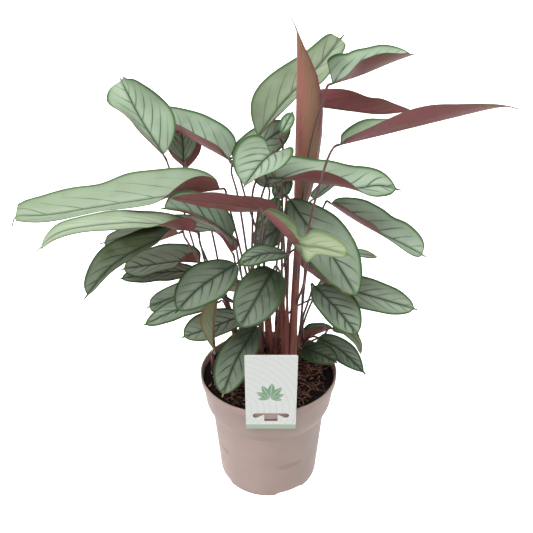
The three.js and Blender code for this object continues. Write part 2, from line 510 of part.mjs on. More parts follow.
// Unit normal of the sheet at a grid point, from the cells round it
function sheetNormal(grid, i, j) {
  const normal = new THREE.Vector3();
  for (const [a, b] of [[i - 1, j - 1], [i - 1, j], [i, j - 1], [i, j]]) {
    if (a < 0 || b < 0 || a + 1 >= grid.length || b + 1 >= grid[0].length) continue;
    const one = grid[a + 1][b + 1].clone().sub(grid[a][b]);
    const two = grid[a + 1][b].clone().sub(grid[a][b + 1]);
    normal.add(one.cross(two).normalize());
  }
  return normal.normalize();
}

// A leaf blade: one closed sheet, split into triangles alike on both faces
function makeBlade(leaf) {
  const curve = ribCurve(leaf[8]);
  const stations = curve.getLength() > SHORT_LEAF ? LONG_STATIONS : SHORT_STATIONS;
  const grid = stations.map((along) => ACROSS.map((across) => bladePoint(curve, leaf, along, across)));
  const rows = stations.length;
  const columns = ACROSS.length;
  const points = [];
  for (const sign of [1, -1]) {
    for (let i = 0; i < rows; i++) {
      for (let j = 0; j < columns; j++) {
        const shift = sheetNormal(grid, i, j).multiplyScalar(sign * BLADE_THICK / 2);
        points.push(grid[i][j].clone().add(shift).toArray());
      }
    }
  }
  const top = (i, j) => i * columns + j;
  const under = (i, j) => rows * columns + top(i, j);
  const faces = [];
  const wall = (a, b, c, d) => faces.push([a, b, c], [a, c, d]);
  for (let i = 0; i < rows - 1; i++) {
    for (let j = 0; j < columns - 1; j++) {
      wall(top(i, j), top(i, j + 1), top(i + 1, j + 1), top(i + 1, j));
      faces.push([under(i, j), under(i + 1, j + 1), under(i, j + 1)]);
      faces.push([under(i, j), under(i + 1, j), under(i + 1, j + 1)]);
    }
    wall(top(i, 0), top(i + 1, 0), under(i + 1, 0), under(i, 0));
    wall(top(i, columns - 1), under(i, columns - 1), under(i + 1, columns - 1), top(i + 1, columns - 1));
  }
  for (let j = 0; j < columns - 1; j++) {
    wall(top(0, j), under(0, j), under(0, j + 1), top(0, j + 1));
    wall(top(rows - 1, j), top(rows - 1, j + 1), under(rows - 1, j + 1), under(rows - 1, j));
  }
  return closedMesh(points, faces);
}

// A sheath: a slim spindle from the soil up to where its petioles leave it
function makeSheath([foot, top, radius, tipRadius]) {
  const low = new THREE.Vector3(...foot, SHEATH_START);
  const high = vector(top);
  const length = low.distanceTo(high);
  const profile = [[0, 0], [radius * 0.9, 0], [radius, length * 0.2],
    [(radius * 2 + tipRadius) / 3, length * 0.65], [tipRadius, length], [0, length]];
  const spindle = new THREE.LatheGeometry(profile.map(([r, z]) => new THREE.Vector2(r, z)), SHEATH_SIDES);
  const way = high.clone().sub(low).normalize();
  const turn = new THREE.Quaternion().setFromUnitVectors(new THREE.Vector3(0, 1, 0), way);
  return spindle.applyQuaternion(turn).translate(...low.toArray());
}

// Where a petiole leaves its shoot: on the axis of the sheath whose top is nearest to its first bend
function petioleRoot(shoot, aim, height) {
  const away = ([, top]) => Math.hypot(top[0] - aim.x, top[1] - aim.y);
  const [foot, top] = shoot.sheaths.reduce((near, next) => (away(next) < away(near) ? next : near));
  const low = new THREE.Vector3(...foot, SHEATH_START);
  const level = Math.min(top[2] - 6, Math.max(SHEATH_START + 8, height));
  return low.lerp(vector(top), (level - SHEATH_START) / (top[2] - SHEATH_START));
}

function makePetiole(leaf, shoot) {
  const [name, , width, , , , , outline, rib] = leaf;
  const curve = ribCurve(rib);
  const base = curve.getPointAt(0);
  const start = directionAt(curve, 0);
  const bends = (BENDS[name] ?? []).map(vector);
  const aim = bends.length ? bends[0] : base;
  const root = petioleRoot(shoot, aim, aim.z - (bends.length ? 30 : 0.45 * (aim.z - SOIL_TOP)));
  if (!bends.length) {
    const bend = root.clone().lerp(base, 0.4);
    bend.z = root.z + (base.z - root.z) * 0.65;
    bends.push(bend);
  }
  const gap = PETIOLE_GAP + outline[3] * STALK_HALF_WIDTH / (width / 2);
  const end = base.clone().addScaledVector(start, -gap);
  const before = base.clone().addScaledVector(start, -PULVINUS);
  const path = new THREE.CatmullRomCurve3([root, ...bends, before, end], false, 'centripetal');
  const section = new THREE.Shape();
  for (let k = 0; k < PETIOLE_SIDES; k++) {
    const angle = 2 * Math.PI * k / PETIOLE_SIDES;
    const move = k === 0 ? 'moveTo' : 'lineTo';
    section[move](PETIOLE_RADIUS * Math.cos(angle), PETIOLE_RADIUS * Math.sin(angle));
  }
  const steps = Math.max(6, Math.round(path.getLength() / PETIOLE_STEP));
  return new THREE.ExtrudeGeometry(section, { steps, bevelEnabled: false, extrudePath: path });
}

// A shoot: its foot in the soil, its sheaths and the petioles of its leaves, joined in one solid
function makeShoot(name) {
  const shoot = SHOOTS[name];
  const low = SOIL_TOP - STUB_DEPTH;
  const stub = upright(shoot.radius, low, SOIL_TOP + STUB_ABOVE, STUB_SIDES, ...shoot.foot);
  const petioles = LEAVES.filter((leaf) => leaf[1] === name).map((leaf) => makePetiole(leaf, shoot));
  return toGeometry(joinAll([stub, ...shoot.sheaths.map(makeSheath), ...petioles]));
}

// The rolled leaf: flattened rings that narrow to a drawn-out tip
function makeRolledLeaf() {
  const points = [];
  for (const [z, left, right] of ROLLED) {
    const half = (right - left) / 2;
    for (let k = 0; k < ROLLED_SIDES; k++) {
      const angle = 2 * Math.PI * k / ROLLED_SIDES;
      const depth = half * ROLLED_DEPTH;
      points.push([left + half + half * Math.cos(angle), ROLLED_Y + depth * Math.sin(angle), z]);
    }
  }
  const at = (ring, k) => ring * ROLLED_SIDES + (k % ROLLED_SIDES);
  const faces = [];
  for (let ring = 0; ring < ROLLED.length - 1; ring++) {
    for (let k = 0; k < ROLLED_SIDES; k++) {
      faces.push([at(ring, k), at(ring, k + 1), at(ring + 1, k + 1)]);
      faces.push([at(ring, k), at(ring + 1, k + 1), at(ring + 1, k)]);
    }
  }
  for (let k = 1; k < ROLLED_SIDES - 1; k++) {
    faces.push([at(0, 0), at(0, k + 1), at(0, k)]);
    faces.push([at(ROLLED.length - 1, 0), at(ROLLED.length - 1, k), at(ROLLED.length - 1, k + 1)]);
  }
  return closedMesh(points, faces);
}

const plant = new THREE.Group();

function add(name, geometry, material) {
  const mesh = new THREE.Mesh(geometry, material);
  mesh.name = name;
  plant.add(mesh);
}

add('pot', makePot(), POT_PLASTIC);
add('soil', makeSoil(), SOIL);
add('plant_tag', makeTag(), CARD);
for (const name of Object.keys(SHOOTS)) add(`shoot_${name}`, makeShoot(name), STEM_RED);
for (const leaf of LEAVES) add(leaf[0], makeBlade(leaf), LEAF_GREEN);
add('leaf_rolled', makeRolledLeaf(), YOUNG_LEAF);

export default plant;
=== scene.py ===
# %% [markdown]
# # A potted ctenanthe
# A ctenanthe is a prayer plant: oblong leaves, silver-green with dark veins above and burgundy
# underneath, on thin stalks that rise from a few wrapped shoots. The frame gives every piece its
# place and size as a plain solid. This lesson puts a finer piece in the place of each.

# %% Load the frame
import json
import math
from collections import namedtuple
import bpy
import numpy as np
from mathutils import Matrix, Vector, noise

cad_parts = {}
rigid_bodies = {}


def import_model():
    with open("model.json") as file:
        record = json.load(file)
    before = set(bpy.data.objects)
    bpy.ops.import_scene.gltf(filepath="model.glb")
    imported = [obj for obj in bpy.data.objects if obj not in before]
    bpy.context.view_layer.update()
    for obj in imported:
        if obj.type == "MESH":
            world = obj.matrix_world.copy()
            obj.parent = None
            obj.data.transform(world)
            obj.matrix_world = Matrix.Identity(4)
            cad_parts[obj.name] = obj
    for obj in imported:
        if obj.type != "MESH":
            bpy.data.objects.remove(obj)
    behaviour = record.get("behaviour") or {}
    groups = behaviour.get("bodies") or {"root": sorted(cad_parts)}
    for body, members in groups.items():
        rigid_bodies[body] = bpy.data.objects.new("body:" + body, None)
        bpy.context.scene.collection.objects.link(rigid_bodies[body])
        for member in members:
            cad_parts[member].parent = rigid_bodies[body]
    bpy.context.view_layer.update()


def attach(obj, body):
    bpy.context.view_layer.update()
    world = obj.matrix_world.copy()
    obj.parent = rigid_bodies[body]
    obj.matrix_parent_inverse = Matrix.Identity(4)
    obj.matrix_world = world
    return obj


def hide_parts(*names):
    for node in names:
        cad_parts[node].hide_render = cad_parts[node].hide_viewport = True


MM = 0.001
PER_METRE = 1 / MM
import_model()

# %% [markdown]
# ## Camera
# The plant is seen from a little above, so that the soil and the upper sides of the leaves show.
# A lens of about 42 mm on a 36 mm square frame, some 0.7 m from the middle of the plant, gives
# that view.

# %% Camera
CAMERA_PLACE = (-0.0025, -0.635, 0.6195)
LOOK_DOWN = 27
LENS = 41.88
FRAME_WIDTH = 36

camera_data = bpy.data.cameras.new("camera")
camera_data.lens = LENS
camera_data.sensor_width = FRAME_WIDTH
camera = bpy.data.objects.new("camera", camera_data)
camera.location = CAMERA_PLACE
camera.rotation_euler = (math.radians(90 - LOOK_DOWN), 0, 0)
bpy.context.scene.collection.objects.link(camera)
bpy.context.scene.camera = camera
print("camera at", CAMERA_PLACE)

# %% [markdown]
# ## Floor and light
# In a product picture the white table is lit so strongly that no shadow lies on it, and still it
# throws little light back at the plant. So the table glows by itself, and its bounce is switched
# off. White walls far behind it do the same for a look from the side; they only fill the view and
# neither light the plant nor shade it. A wide key lamp from the upper left models the leaves, a
# weaker one behind lights their edges, and a room that is bright above and dim below does the rest.

# %% Floor and walls
STAGE_HALF = 15.0
WALL_HEIGHT = 20.0
CORNERS = [(-1, -1), (1, -1), (1, 1), (-1, 1)]


def stage_piece(name, heights, faces):
    """A part of the white surroundings, made of the corners of one square at each height."""
    mesh = bpy.data.meshes.new(name)
    mesh.from_pydata([(x * STAGE_HALF, y * STAGE_HALF, z) for z in heights for x, y in CORNERS], [], faces)
    made = bpy.data.objects.new(name, mesh)
    made.visible_diffuse = False
    bpy.context.scene.collection.objects.link(made)
    return made


floor = stage_piece("floor", [0], [(0, 1, 2, 3)])
walls = stage_piece("walls", [0, WALL_HEIGHT], [(0, 1, 5, 4), (1, 2, 6, 5), (2, 3, 7, 6), (3, 0, 4, 7)])
walls.visible_glossy = False
walls.visible_shadow = False
print("floor and walls:", 2 * STAGE_HALF, "m wide,", WALL_HEIGHT, "m high")

# %% Lamps
# Each lamp: name, the way that its light goes, width in degrees, strength
LAMPS = [("key_lamp", (0.35, 0.5, -1.0), 45, 2.6), ("edge_lamp", (-0.2, -1.0, -0.7), 40, 0.4)]
for lamp_name, way, width, strength in LAMPS:
    lamp_data = bpy.data.lights.new(lamp_name, "SUN")
    lamp_data.angle = math.radians(width)
    lamp_data.energy = strength
    lamp = bpy.data.objects.new(lamp_name, lamp_data)
    lamp.rotation_euler = Vector(way).to_track_quat("-Z", "Y").to_euler()
    bpy.context.scene.collection.objects.link(lamp)
print("lamps:", [lamp[0] for lamp in LAMPS])

# %% Room
ROOM_ABOVE = 0.6
ROOM_BELOW = 0.4
world = bpy.data.worlds.new("white_room")
world.use_nodes = True
room = world.node_tree
direction = room.nodes.new("ShaderNodeTexCoord")
split = room.nodes.new("ShaderNodeSeparateXYZ")
level = room.nodes.new("ShaderNodeMapRange")
for name, value in (("From Min", -0.5), ("From Max", 0.5), ("To Min", ROOM_BELOW), ("To Max", ROOM_ABOVE)):
    level.inputs[name].default_value = value
room.links.new(direction.outputs["Generated"], split.inputs[0])
room.links.new(split.outputs["Z"], level.inputs[0])
room.links.new(level.outputs[0], room.nodes["Background"].inputs["Strength"])
room.nodes["Background"].inputs["Color"].default_value = (1, 1, 1, 1)
bpy.context.scene.world = world
bpy.context.scene.view_settings.view_transform = "Standard"
print("room:", ROOM_BELOW, "to", ROOM_ABOVE)

# %% [markdown]
# ## Finishes as expressions
# A finish is worked out from values that vary over a surface. Reading them as arithmetic is easier
# than reading a web of nodes, so a small class wraps a socket and turns each operator into a node.

# %% Link: arithmetic on sockets
class Link:
    """A value in a node tree, which the usual operators work on."""

    def __init__(self, finish, socket):
        self.finish = finish
        self.socket = socket

    def math(self, operation, *others):
        return self.finish.node("ShaderNodeMath", {"operation": operation}, dict(enumerate([self, *others])))

    def __add__(self, other):
        return self.math("ADD", other)

    def __sub__(self, other):
        return self.math("SUBTRACT", other)

    def __mul__(self, other):
        return self.math("MULTIPLY", other)

    def __truediv__(self, other):
        return self.math("DIVIDE", other)

    def __rsub__(self, other):
        return (self * -1) + other

    __radd__ = __add__
    __rmul__ = __mul__

    def __abs__(self):
        return self.math("ABSOLUTE")

    def fract(self):
        return self.math("FRACT")

    def root(self):
        return self.math("SQRT")

    def most(self, other):
        return self.math("MAXIMUM", other)

    def rise(self, low, high):
        """0 below low and 1 above high, with a smooth step between."""
        return self.finish.node("ShaderNodeMapRange", {"interpolation_type": "SMOOTHSTEP"},
                                {0: self, 1: low, 2: high})

    def fall(self, low, high):
        """1 below low and 0 above high."""
        return 1 - self.rise(low, high)


# %% Finish: a material made of such values
def srgb(red, green, blue):
    """A screen colour, 0 to 255, as the shader's linear colour."""
    linear = [c / 12.92 if c <= 0.04045 else ((c + 0.055) / 1.055) ** 2.4
              for c in (red / 255, green / 255, blue / 255)]
    return (*linear, 1)


class Finish:
    """A material with one main shader, and methods that add values to it."""

    def __init__(self, name):
        self.material = bpy.data.materials.new(name)
        self.material.use_nodes = True
        self.tree = self.material.node_tree
        self.shader = self.tree.nodes["Principled BSDF"]

    def set(self, **inputs):
        """Values or links for the main shader's inputs, named in small letters."""
        for name, value in inputs.items():
            self.feed(self.shader.inputs[name.replace("_", " ").title().replace("Ior", "IOR")], value)

    def feed(self, socket, value):
        if isinstance(value, Link):
            self.tree.links.new(value.socket, socket)
        else:
            socket.default_value = value

    def node(self, kind, settings, sockets, output=0):
        """A node of any kind: its settings come first, then the values or links of its sockets."""
        made = self.tree.nodes.new(kind)
        for key, value in settings.items():
            setattr(made, key, value)
        for key, value in sockets.items():
            self.feed(made.inputs[key], value)
        return Link(self, made.outputs[output])

    def attributes(self, *names):
        """The values that a piece stores at its points, by name."""
        return [self.node("ShaderNodeAttribute", {"attribute_name": name}, {}, "Fac") for name in names]

    def place(self):
        return self.node("ShaderNodeTexCoord", {}, {}, "Object")

    def axis(self, name):
        return self.node("ShaderNodeSeparateXYZ", {}, {0: self.place()}, name)

    def grain(self, scale, detail=3, stretch=(1, 1, 1)):
        """A cloudy pattern, finer with a larger scale."""
        spot = self.node("ShaderNodeVectorMath", {"operation": "MULTIPLY"}, {0: self.place(), 1: stretch})
        return self.node("ShaderNodeTexNoise", {}, {"Vector": spot, "Scale": scale, "Detail": detail})

    def mix(self, color, *layers):
        """A colour with others laid over it in turn, each given with its share."""
        for over, share in layers:
            color = self.node("ShaderNodeMix", {"data_type": "RGBA"}, {0: share, 6: color, 7: over}, 2)
        return color

    def bump(self, height, distance, strength=1.0):
        values = {"Strength": strength, "Distance": distance, "Height": height}
        self.set(normal=self.node("ShaderNodeBump", {}, values))


white = Finish("white_table")
white.set(base_color=srgb(252, 252, 252), roughness=0.9, emission_color=(1, 1, 1, 1), emission_strength=1.0)
for stage_part in (floor, walls):
    stage_part.data.materials.append(white.material)
print("finish:", white.material.name)

# %% [markdown]
# ## Pieces from points
# Most pieces here are grids of points that a rule lays out, so one helper gathers points, faces and
# the values that the finish reads from them, such as how far a point lies along its leaf. It then
# makes the object, gives it its finish and hides the plain solids of the frame that it stands for.

# %% Piece: points, faces and values
class Piece:
    """Gathers parts of one object, and makes it."""

    def __init__(self):
        self.points = []
        self.faces = []
        self.values = {}

    def add(self, points, faces, **values):
        """More points, in millimetres, with their faces and the values at these points."""
        start = len(self.points)
        self.points.extend(tuple(p) for p in np.asarray(points) * MM)
        self.faces.extend(tuple(start + i for i in face) for face in faces)
        for name, value in values.items():
            column = self.values.setdefault(name, [])
            column.extend([0.0] * (start - len(column)))
            column.extend(np.broadcast_to(value, len(points)).tolist())

    def make(self, name, finish, nodes, sharp=40):
        """The object, which rides on the body and stands for nodes of the frame."""
        mesh = bpy.data.meshes.new(name)
        mesh.from_pydata(self.points, [], self.faces)
        for key, column in self.values.items():
            column.extend([0.0] * (len(self.points) - len(column)))
            mesh.attributes.new(key, "FLOAT", "POINT").data.foreach_set("value", column)
        mesh.shade_smooth()
        mesh.set_sharp_from_angle(angle=math.radians(sharp))
        mesh.materials.append(finish.material)
        made = bpy.data.objects.new(name, mesh)
        bpy.context.scene.collection.objects.link(made)
        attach(made, "root")
        if nodes:
            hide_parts(*nodes)
        return made


def grid_faces(rows, columns, ring=False, start=0):
    """Squares of a grid of points. A ring joins its last column to its first."""
    last = columns if ring else columns - 1
    return [(start + i * columns + j, start + i * columns + (j + 1) % columns,
             start + (i + 1) * columns + (j + 1) % columns, start + (i + 1) * columns + j)
            for i in range(rows - 1) for j in range(last)]


def tube_faces(rows, sides):
    """A closed tube of rings, with one more point for each of its ends after all rings."""
    count = rows * sides
    ends = [(count, (j + 1) % sides, j) for j in range(sides)]
    ends += [(count + 1, count - sides + j, count - sides + (j + 1) % sides) for j in range(sides)]
    return grid_faces(rows, sides, ring=True) + ends


def wall_faces(corners):
    """Walls between two outlines of as many corners."""
    return [(i, (i + 1) % corners, corners + (i + 1) % corners, corners + i) for i in range(corners)]


def prism_faces(corners):
    """Two flat ends of as many corners, and the walls between them."""
    return [tuple(range(corners))[::-1], tuple(range(corners, 2 * corners)), *wall_faces(corners)]


print("a box has", len(prism_faces(4)), "faces")

# %% [markdown]
# ## Shoots and leaves in numbers
# Each shoot has a foot in the soil and sheaths, and each sheath a foot, a top and its radius at
# both. Each leaf has a name, its shoot, its width, the way that its upper side looks at base and
# tip, how many degrees its left and right halves fold up at the base, a third along and at the tip,
# its outline, and the points of its midrib, in millimetres. The frame was built from these numbers.
# An outline says how far back the widest place lies, how blunt base and tip are, and how long the
# lobes at the base are. A few leaves also have a waist, a horn or a right half that narrows.

# %% Shoots
SHOOTS = {
    "center": {"foot": [29, 10], "radius": 9.5, "sheaths": [
        [[28, 9], [34, 5, 351], 4.8, 4],
        [[30, 3], [32, 0, 284], 4.6, 1.2],
        [[20, 14], [16, 16, 272], 3.8, 1.4],
        [[22, 4], [22, -1, 253], 4, 1.2]]},
    "left": {"foot": [-15, 18], "radius": 8, "sheaths": [
        [[-17, 18], [-20, 15, 262], 5, 1.6],
        [[-11, 20], [-8, 20, 235], 4.2, 1.6],
        [[-16, 13], [-24, 8, 212], 3.4, 1]]},
    "back_left": {"foot": [-36, 44], "radius": 6.5, "sheaths": [
        [[-37, 44], [-59, 60, 240], 4.4, 1.8],
        [[-32, 45], [-36, 42, 225], 4, 1.6]]},
    "rim": {"foot": [-70, 8], "radius": 3.6, "sheaths": [
        [[-70, 8], [-70, -1, 178], 2.6, 1.5]]},
    "front": {"foot": [5, 24], "radius": 6, "sheaths": [
        [[3, 25], [0, 16, 236], 3.8, 1.5],
        [[8, 22], [10, 14, 215], 3.2, 1.2]]},
    "right": {"foot": [38, 28], "radius": 5, "sheaths": [
        [[36, 27], [40, 24, 200], 2.6, 1.2],
        [[41, 29], [45, 27, 180], 2.4, 1.2]]},
    "back": {"foot": [5, 58], "radius": 7.5, "sheaths": [
        [[2, 58], [-6, 66, 250], 4.8, 1.6],
        [[9, 58], [22, 68, 240], 4.4, 1.6]]},
}
print("shoots:", list(SHOOTS))

# %% Leaves
FOLD_KNOT = 0.35
Leaf = namedtuple("Leaf", "name shoot width face_base face_tip fold_left fold_right outline rib")
Outline = namedtuple(
    "Outline", "widest blunt_base blunt_tip lobe waist waist_depth horn horn_reach knot end narrow",
    defaults=(0, 0, 0, 0, FOLD_KNOT, 1, 1))
LEAF_ROWS = [
    ["leaf_left_01", "left", 85, [0, -.3, .95], [0, -.17, .98], [108, 34, 25], [40, 20, 10],
      [.9, .5, .2, 8, .55, .18], [[-54, 10, 386], [-112, 0, 381], [-170, -15, 377], [-228, -35, 374],
        [-259, -42, 375], [-265, -46, 366]]],
    ["leaf_left_02", "back_left", 44, [0, -.3, .95], [0, -.2, 1], [120, 28, 20], [15, 2, -2],
      [.8, .3, .25, 5], [[-79, -41, 358], [-120, -56, 373], [-157, -71, 379], [-201, -86, 377],
        [-227, -90, 358]]],
    ["leaf_left_03", "back_left", 50, [-.1, -.3, .95], [-.2, -.4, .9], [92, 40, 45], [40, 10, 10],
      [1, .6, .45, 5], [[-91, -69, 368], [-124, -95, 364], [-149, -120, 355], [-170, -141, 334]]],
    ["leaf_left_04", "left", 47, [0, -.1, 1], [0, -.1, 1], [90, 20, 10], [20, 10, 10],
      [.95, .35, .2, 5], [[-44, 23, 304], [-61, 18, 331], [-100, 13, 341], [-135, 10, 337], [-194, 4, 322]]],
    ["leaf_left_05", "left", 54, [.4, -.6, .7], [0, -.6, .8], [40, 66, 70], [10, 10, 20],
      [.95, .35, .45, 5], [[-41, -11, 337], [-60, -22, 359], [-84, -35, 377], [-109, -52, 388]]],
    ["leaf_left_06", "back_left", 56, [0, -.3, .95], [0, -.3, .95], [118, 38, 5], [40, 15, 10],
      [.95, .35, .45, 5], [[-81, 20, 291], [-106, 20, 292], [-138, 15, 290], [-173, 8, 288]]],
    ["leaf_left_07", "front", 52, [-.2, -.5, .8], [-.3, -.8, .5], [10, 5, 5], [10, 5, 5],
      [.95, .6, .6, 3], [[-36, -30, 314], [-66, -55, 305], [-82, -70, 297], [-97, -85, 285]]],
    ["leaf_left_08", "back_left", 41, [0, -.3, .95], [0, -.5, .87], [10, 10, 10], [10, 10, 10],
      [.9, .35, .3, 3], [[-68, 64, 236], [-116, 74, 216], [-162, 73, 197]]],
    ["leaf_left_09", "back_left", 32, [0, -.3, .95], [0, -.5, .87], [10, 10, 10], [10, 10, 10],
      [.9, .35, .5, 3], [[-67, 30, 230], [-111, 30, 221], [-158, 25, 200]]],
    ["leaf_left_10", "back_left", 49, [0, -.4, .9], [0, -.5, .87], [20, 35, 25], [15, 10, 10],
      [.95, .35, .45, 5], [[-37, 40, 204], [-62, 20, 204], [-81, 5, 205], [-105, -10, 205]]],
    ["leaf_left_11", "back_left", 35, [0, -.2, 1], [0, -.2, 1], [10, 5, 5], [10, 10, 10],
      [.95, .35, .45, 5], [[-88, 14, 282], [-128, 11, 282], [-173, -5, 282]]],
    ["leaf_low_01", "rim", 36, [-.5, -.85, .1], [-.5, -.85, .1], [5, 10, 15], [65, 75, 75],
      [1, .8, .7, 2], [[-64, -20, 193], [-63, -26, 236], [-56, -26, 279]]],
    ["leaf_front_01", "front", 49, [-.1, -.8, .6], [-.2, -.9, .4], [5, 5, 5], [10, 5, 5],
      [.95, .4, .62, 3], [[5, -50, 318], [-11, -80, 303], [-31, -105, 277]]],
    ["leaf_front_02", "front", 48, [-.3, -.6, .7], [-.3, -.8, .5], [50, 26, 6], [5, 5, 5],
      [.95, .35, .45, 5], [[-15, -10, 220], [-25, -25, 210], [-39, -50, 197], [-52, -85, 176]]],
    ["leaf_front_03", "front", 28, [0, -.3, .95], [0, -.4, .9], [15, 5, 5], [15, 10, 5],
      [.95, .35, .45, 5], [[17, -20, 322], [-7, -40, 331], [-33, -55, 325]]],
    ["leaf_front_04", "left", 58, [0, -.85, .5], [0, -.9, .4], [68, 56, 95], [5, 5, 5],
      [.6, .45, .5, 23, 0, 0, 0, 0, .25, .9, 1.15], [[2, -45, 442], [-8, -60, 437], [-24, -75, 419]]],
    ["leaf_front_05", "left", 43, [0, .75, .65], [0, .6, .8], [20, 10, 10], [20, 10, 10],
      [.95, .35, .45, 5], [[5, -50, 384], [-42, -75, 401], [-96, -90, 414]]],
    ["leaf_front_06", "front", 36, [0, -.3, .95], [0, -.6, .8], [80, 68, 10], [100, 95, -20],
      [.9, .45, .3, 5, .46, .5, .58, 1.2, .44, .58, .45], [[-5, -94, 401], [7, -99, 389],
        [20, -102, 376], [34, -105, 371], [48, -111, 372], [75, -124, 370]]],
    ["leaf_right_01", "center", 60, [.3, -.75, .6], [.4, -.8, .5], [85, 42, 8], [20, 10, 10],
      [.97, .7, .52, 5], [[22, -11, 382], [43, -36, 359], [64, -61, 341], [91, -93, 305]]],
    ["leaf_right_02", "right", 48, [.1, -.6, .8], [.2, -.8, .6], [10, 5, 5], [55, 38, 20],
      [1, .7, .55, 4], [[50, -40, 292], [72, -75, 283], [93, -100, 266]]],
    ["leaf_right_03", "right", 46, [.1, -.4, .9], [.2, -.5, .87], [10, 10, 10], [10, 10, 10],
      [.9, .35, .45, 5], [[71, 0, 272], [117, -20, 268], [168, -35, 259]]],
    ["leaf_right_04", "right", 64, [.2, -.2, 1], [.4, -.3, .9], [20, 32, 45], [58, 52, 15],
      [.85, .55, .35, 4, .58, .15], [[68, 0, 373], [93, -8, 358], [119, -15, 345], [142, -24, 337],
        [170, -35, 325]]],
    ["leaf_right_05", "left", 61, [0, -.1, 1], [.15, -.5, .85], [58, 22, 22], [15, 72, 0],
      [.8, .12, .55, 5], [[5, -35, 414], [30, -42, 414], [60, -45, 411], [87, -45, 407],
        [111, -43, 409], [134, -40, 403]]],
    ["leaf_right_06", "center", 50, [0, 0, 1], [0, -.2, 1], [95, 12, 28], [58, 86, 55],
      [.8, .45, 1.1, 5], [[71, -35, 449], [117, -15, 454], [188, 10, 464], [248, 35, 470], [273, 42, 466]]],
    ["leaf_right_07", "center", 62, [0, -.1, 1], [0, -.2, 1], [95, 39, 26], [30, 62, 42],
      [.9, .1, .5, 3], [[65, 11, 499], [92, 17, 506], [122, 22, 517], [149, 26, 526]]],
    ["leaf_right_08", "back", 44, [0, .25, .97], [0, .25, .97], [30, 30, 20], [105, 88, 62],
      [.7, .25, .8, 3, .5, .12], [[43, 27, 473], [58, 30, 471], [90, 38, 465], [124, 46, 460],
        [165, 60, 461]]],
    ["leaf_right_09", "right", 20, [0, -.2, 1], [0, -.2, 1], [10, 10, 10], [10, 10, 10],
      [.95, .35, .45, 2], [[88, 50, 288], [114, 60, 283], [138, 65, 276]]],
    ["leaf_low_02", "right", 30, [0, -.5, .87], [0, -.5, .87], [10, 5, 5], [10, 5, 5],
      [.95, .35, .45, 3], [[41, -10, 189], [61, -30, 195], [79, -50, 197]]],
    ["leaf_low_03", "right", 30, [0, -.5, .87], [.2, -.6, .8], [20, 10, 5], [20, 10, 5],
      [.95, .35, .8, 3], [[62, 5, 194], [86, -15, 191], [114, -45, 177]]],
    ["leaf_low_04", "right", 20, [.3, -.2, .9], [.7, -.3, .6], [10, 5, 5], [10, 5, 5],
      [.95, .35, .45, 3], [[81, 25, 195], [97, 22, 194], [111, 12, 184], [116, 5, 169]]],
    ["leaf_low_05", "right", 32, [-.1, .5, .87], [0, .3, .95], [80, 85, 40], [55, 60, 30],
      [.95, .35, .45, 3], [[41, 34, 169], [60, 38, 178], [85, 42, 186]]],
    ["leaf_top_01", "center", 65, [0, -.89, .45], [0, -.89, .45], [10, 8, 8], [100, 86, 30],
      [.62, 1.5, .25, 0, 0, 0, 0, 0, .35, .75, .78], [[-12, 36, 437], [16, 56, 470], [53, 77, 503],
        [84, 94, 537]]],
    ["leaf_top_02", "back_left", 74, [-.1, -.8, .5], [-.1, -.8, .5], [112, 100, 10], [20, 12, 75],
      [.72, .8, .3, 0, 0, 0, .9, -.3], [[-121, 57, 411], [-148, 77, 449], [-170, 103, 484],
        [-173, 105, 487]]],
    ["leaf_top_03", "left", 66, [0, -.85, .5], [0, -.85, .5], [120, 112, 95], [25, 12, 10],
      [.62, .3, .5, 3], [[-46, 60, 404], [-75, 84, 413], [-110, 112, 427], [-146, 135, 447]]],
    ["leaf_top_04", "back_left", 56, [0, -.8, .5], [0, -.6, .8], [45, 60, 50], [45, 60, 50],
      [1.3, .8, .2, 0], [[-106, 113, 385], [-106, 119, 401], [-108, 125, 421]]],
    ["leaf_top_05", "back", 40, [0, -.8, .5], [0, -.8, .5], [5, 5, 5], [5, 5, 5],
      [.95, .35, .45, 5], [[-42, 71, 403], [-12, 66, 419], [27, 71, 445]]],
    ["leaf_top_06", "center", 14, [0, -.8, .5], [0, -.8, .5], [5, 5, 5], [5, 5, 5],
      [.95, .35, .45, 0], [[13, -20, 457], [17, -15, 464], [24, -5, 474]]],
    ["leaf_mid_01", "back", 22, [0, -.8, .5], [0, -.8, .5], [5, 5, 5], [5, 5, 5],
      [.95, .35, .45, 2], [[24, 33, 391], [16, 38, 379], [6, 43, 363]]],
    ["leaf_mid_02", "front", 18, [0, -.8, .5], [0, -.8, .5], [5, 5, 5], [5, 5, 5],
      [.95, .35, .45, 2], [[11, 12, 374], [0, 2, 362], [-14, -8, 348]]],
    ["leaf_mid_03", "back", 37, [0, .8, .5], [0, .8, .5], [10, 10, 5], [10, 10, 5],
      [.95, .35, .45, 2], [[-28, 64, 238], [-48, 76, 227], [-67, 88, 217]]],
    ["leaf_back_01", "back", 58, [0, .3, .95], [0, .4, .9], [15, 10, 5], [15, 10, 5],
      [.95, .35, .45, 5], [[0, 88, 360], [-10, 120, 386], [-22, 158, 390], [-30, 188, 374]]],
    ["leaf_back_02", "back", 42, [0, .75, .65], [0, .75, .65], [15, 10, 5], [15, 10, 5],
      [.95, .35, .6, 2], [[37, 60, 286], [63, 66, 260], [100, 76, 226]]],
    ["leaf_back_03", "back", 34, [0, -.6, .8], [0, -.6, .8], [5, 5, 5], [10, 5, 5],
      [.95, .35, .45, 2], [[15, 42, 327], [-1, 36, 318], [-18, 28, 308]]],
    ["leaf_back_04", "back_left", 45, [0, .9, .3], [0, .9, .3], [10, 10, 5], [10, 10, 5],
      [1.3, .6, .4, 0], [[-106, 137, 369], [-107, 134, 394], [-108, 138, 426]]],
    ["leaf_back_05", "back", 42, [.2, .2, .95], [.2, .3, .95], [15, 10, 5], [15, 10, 5],
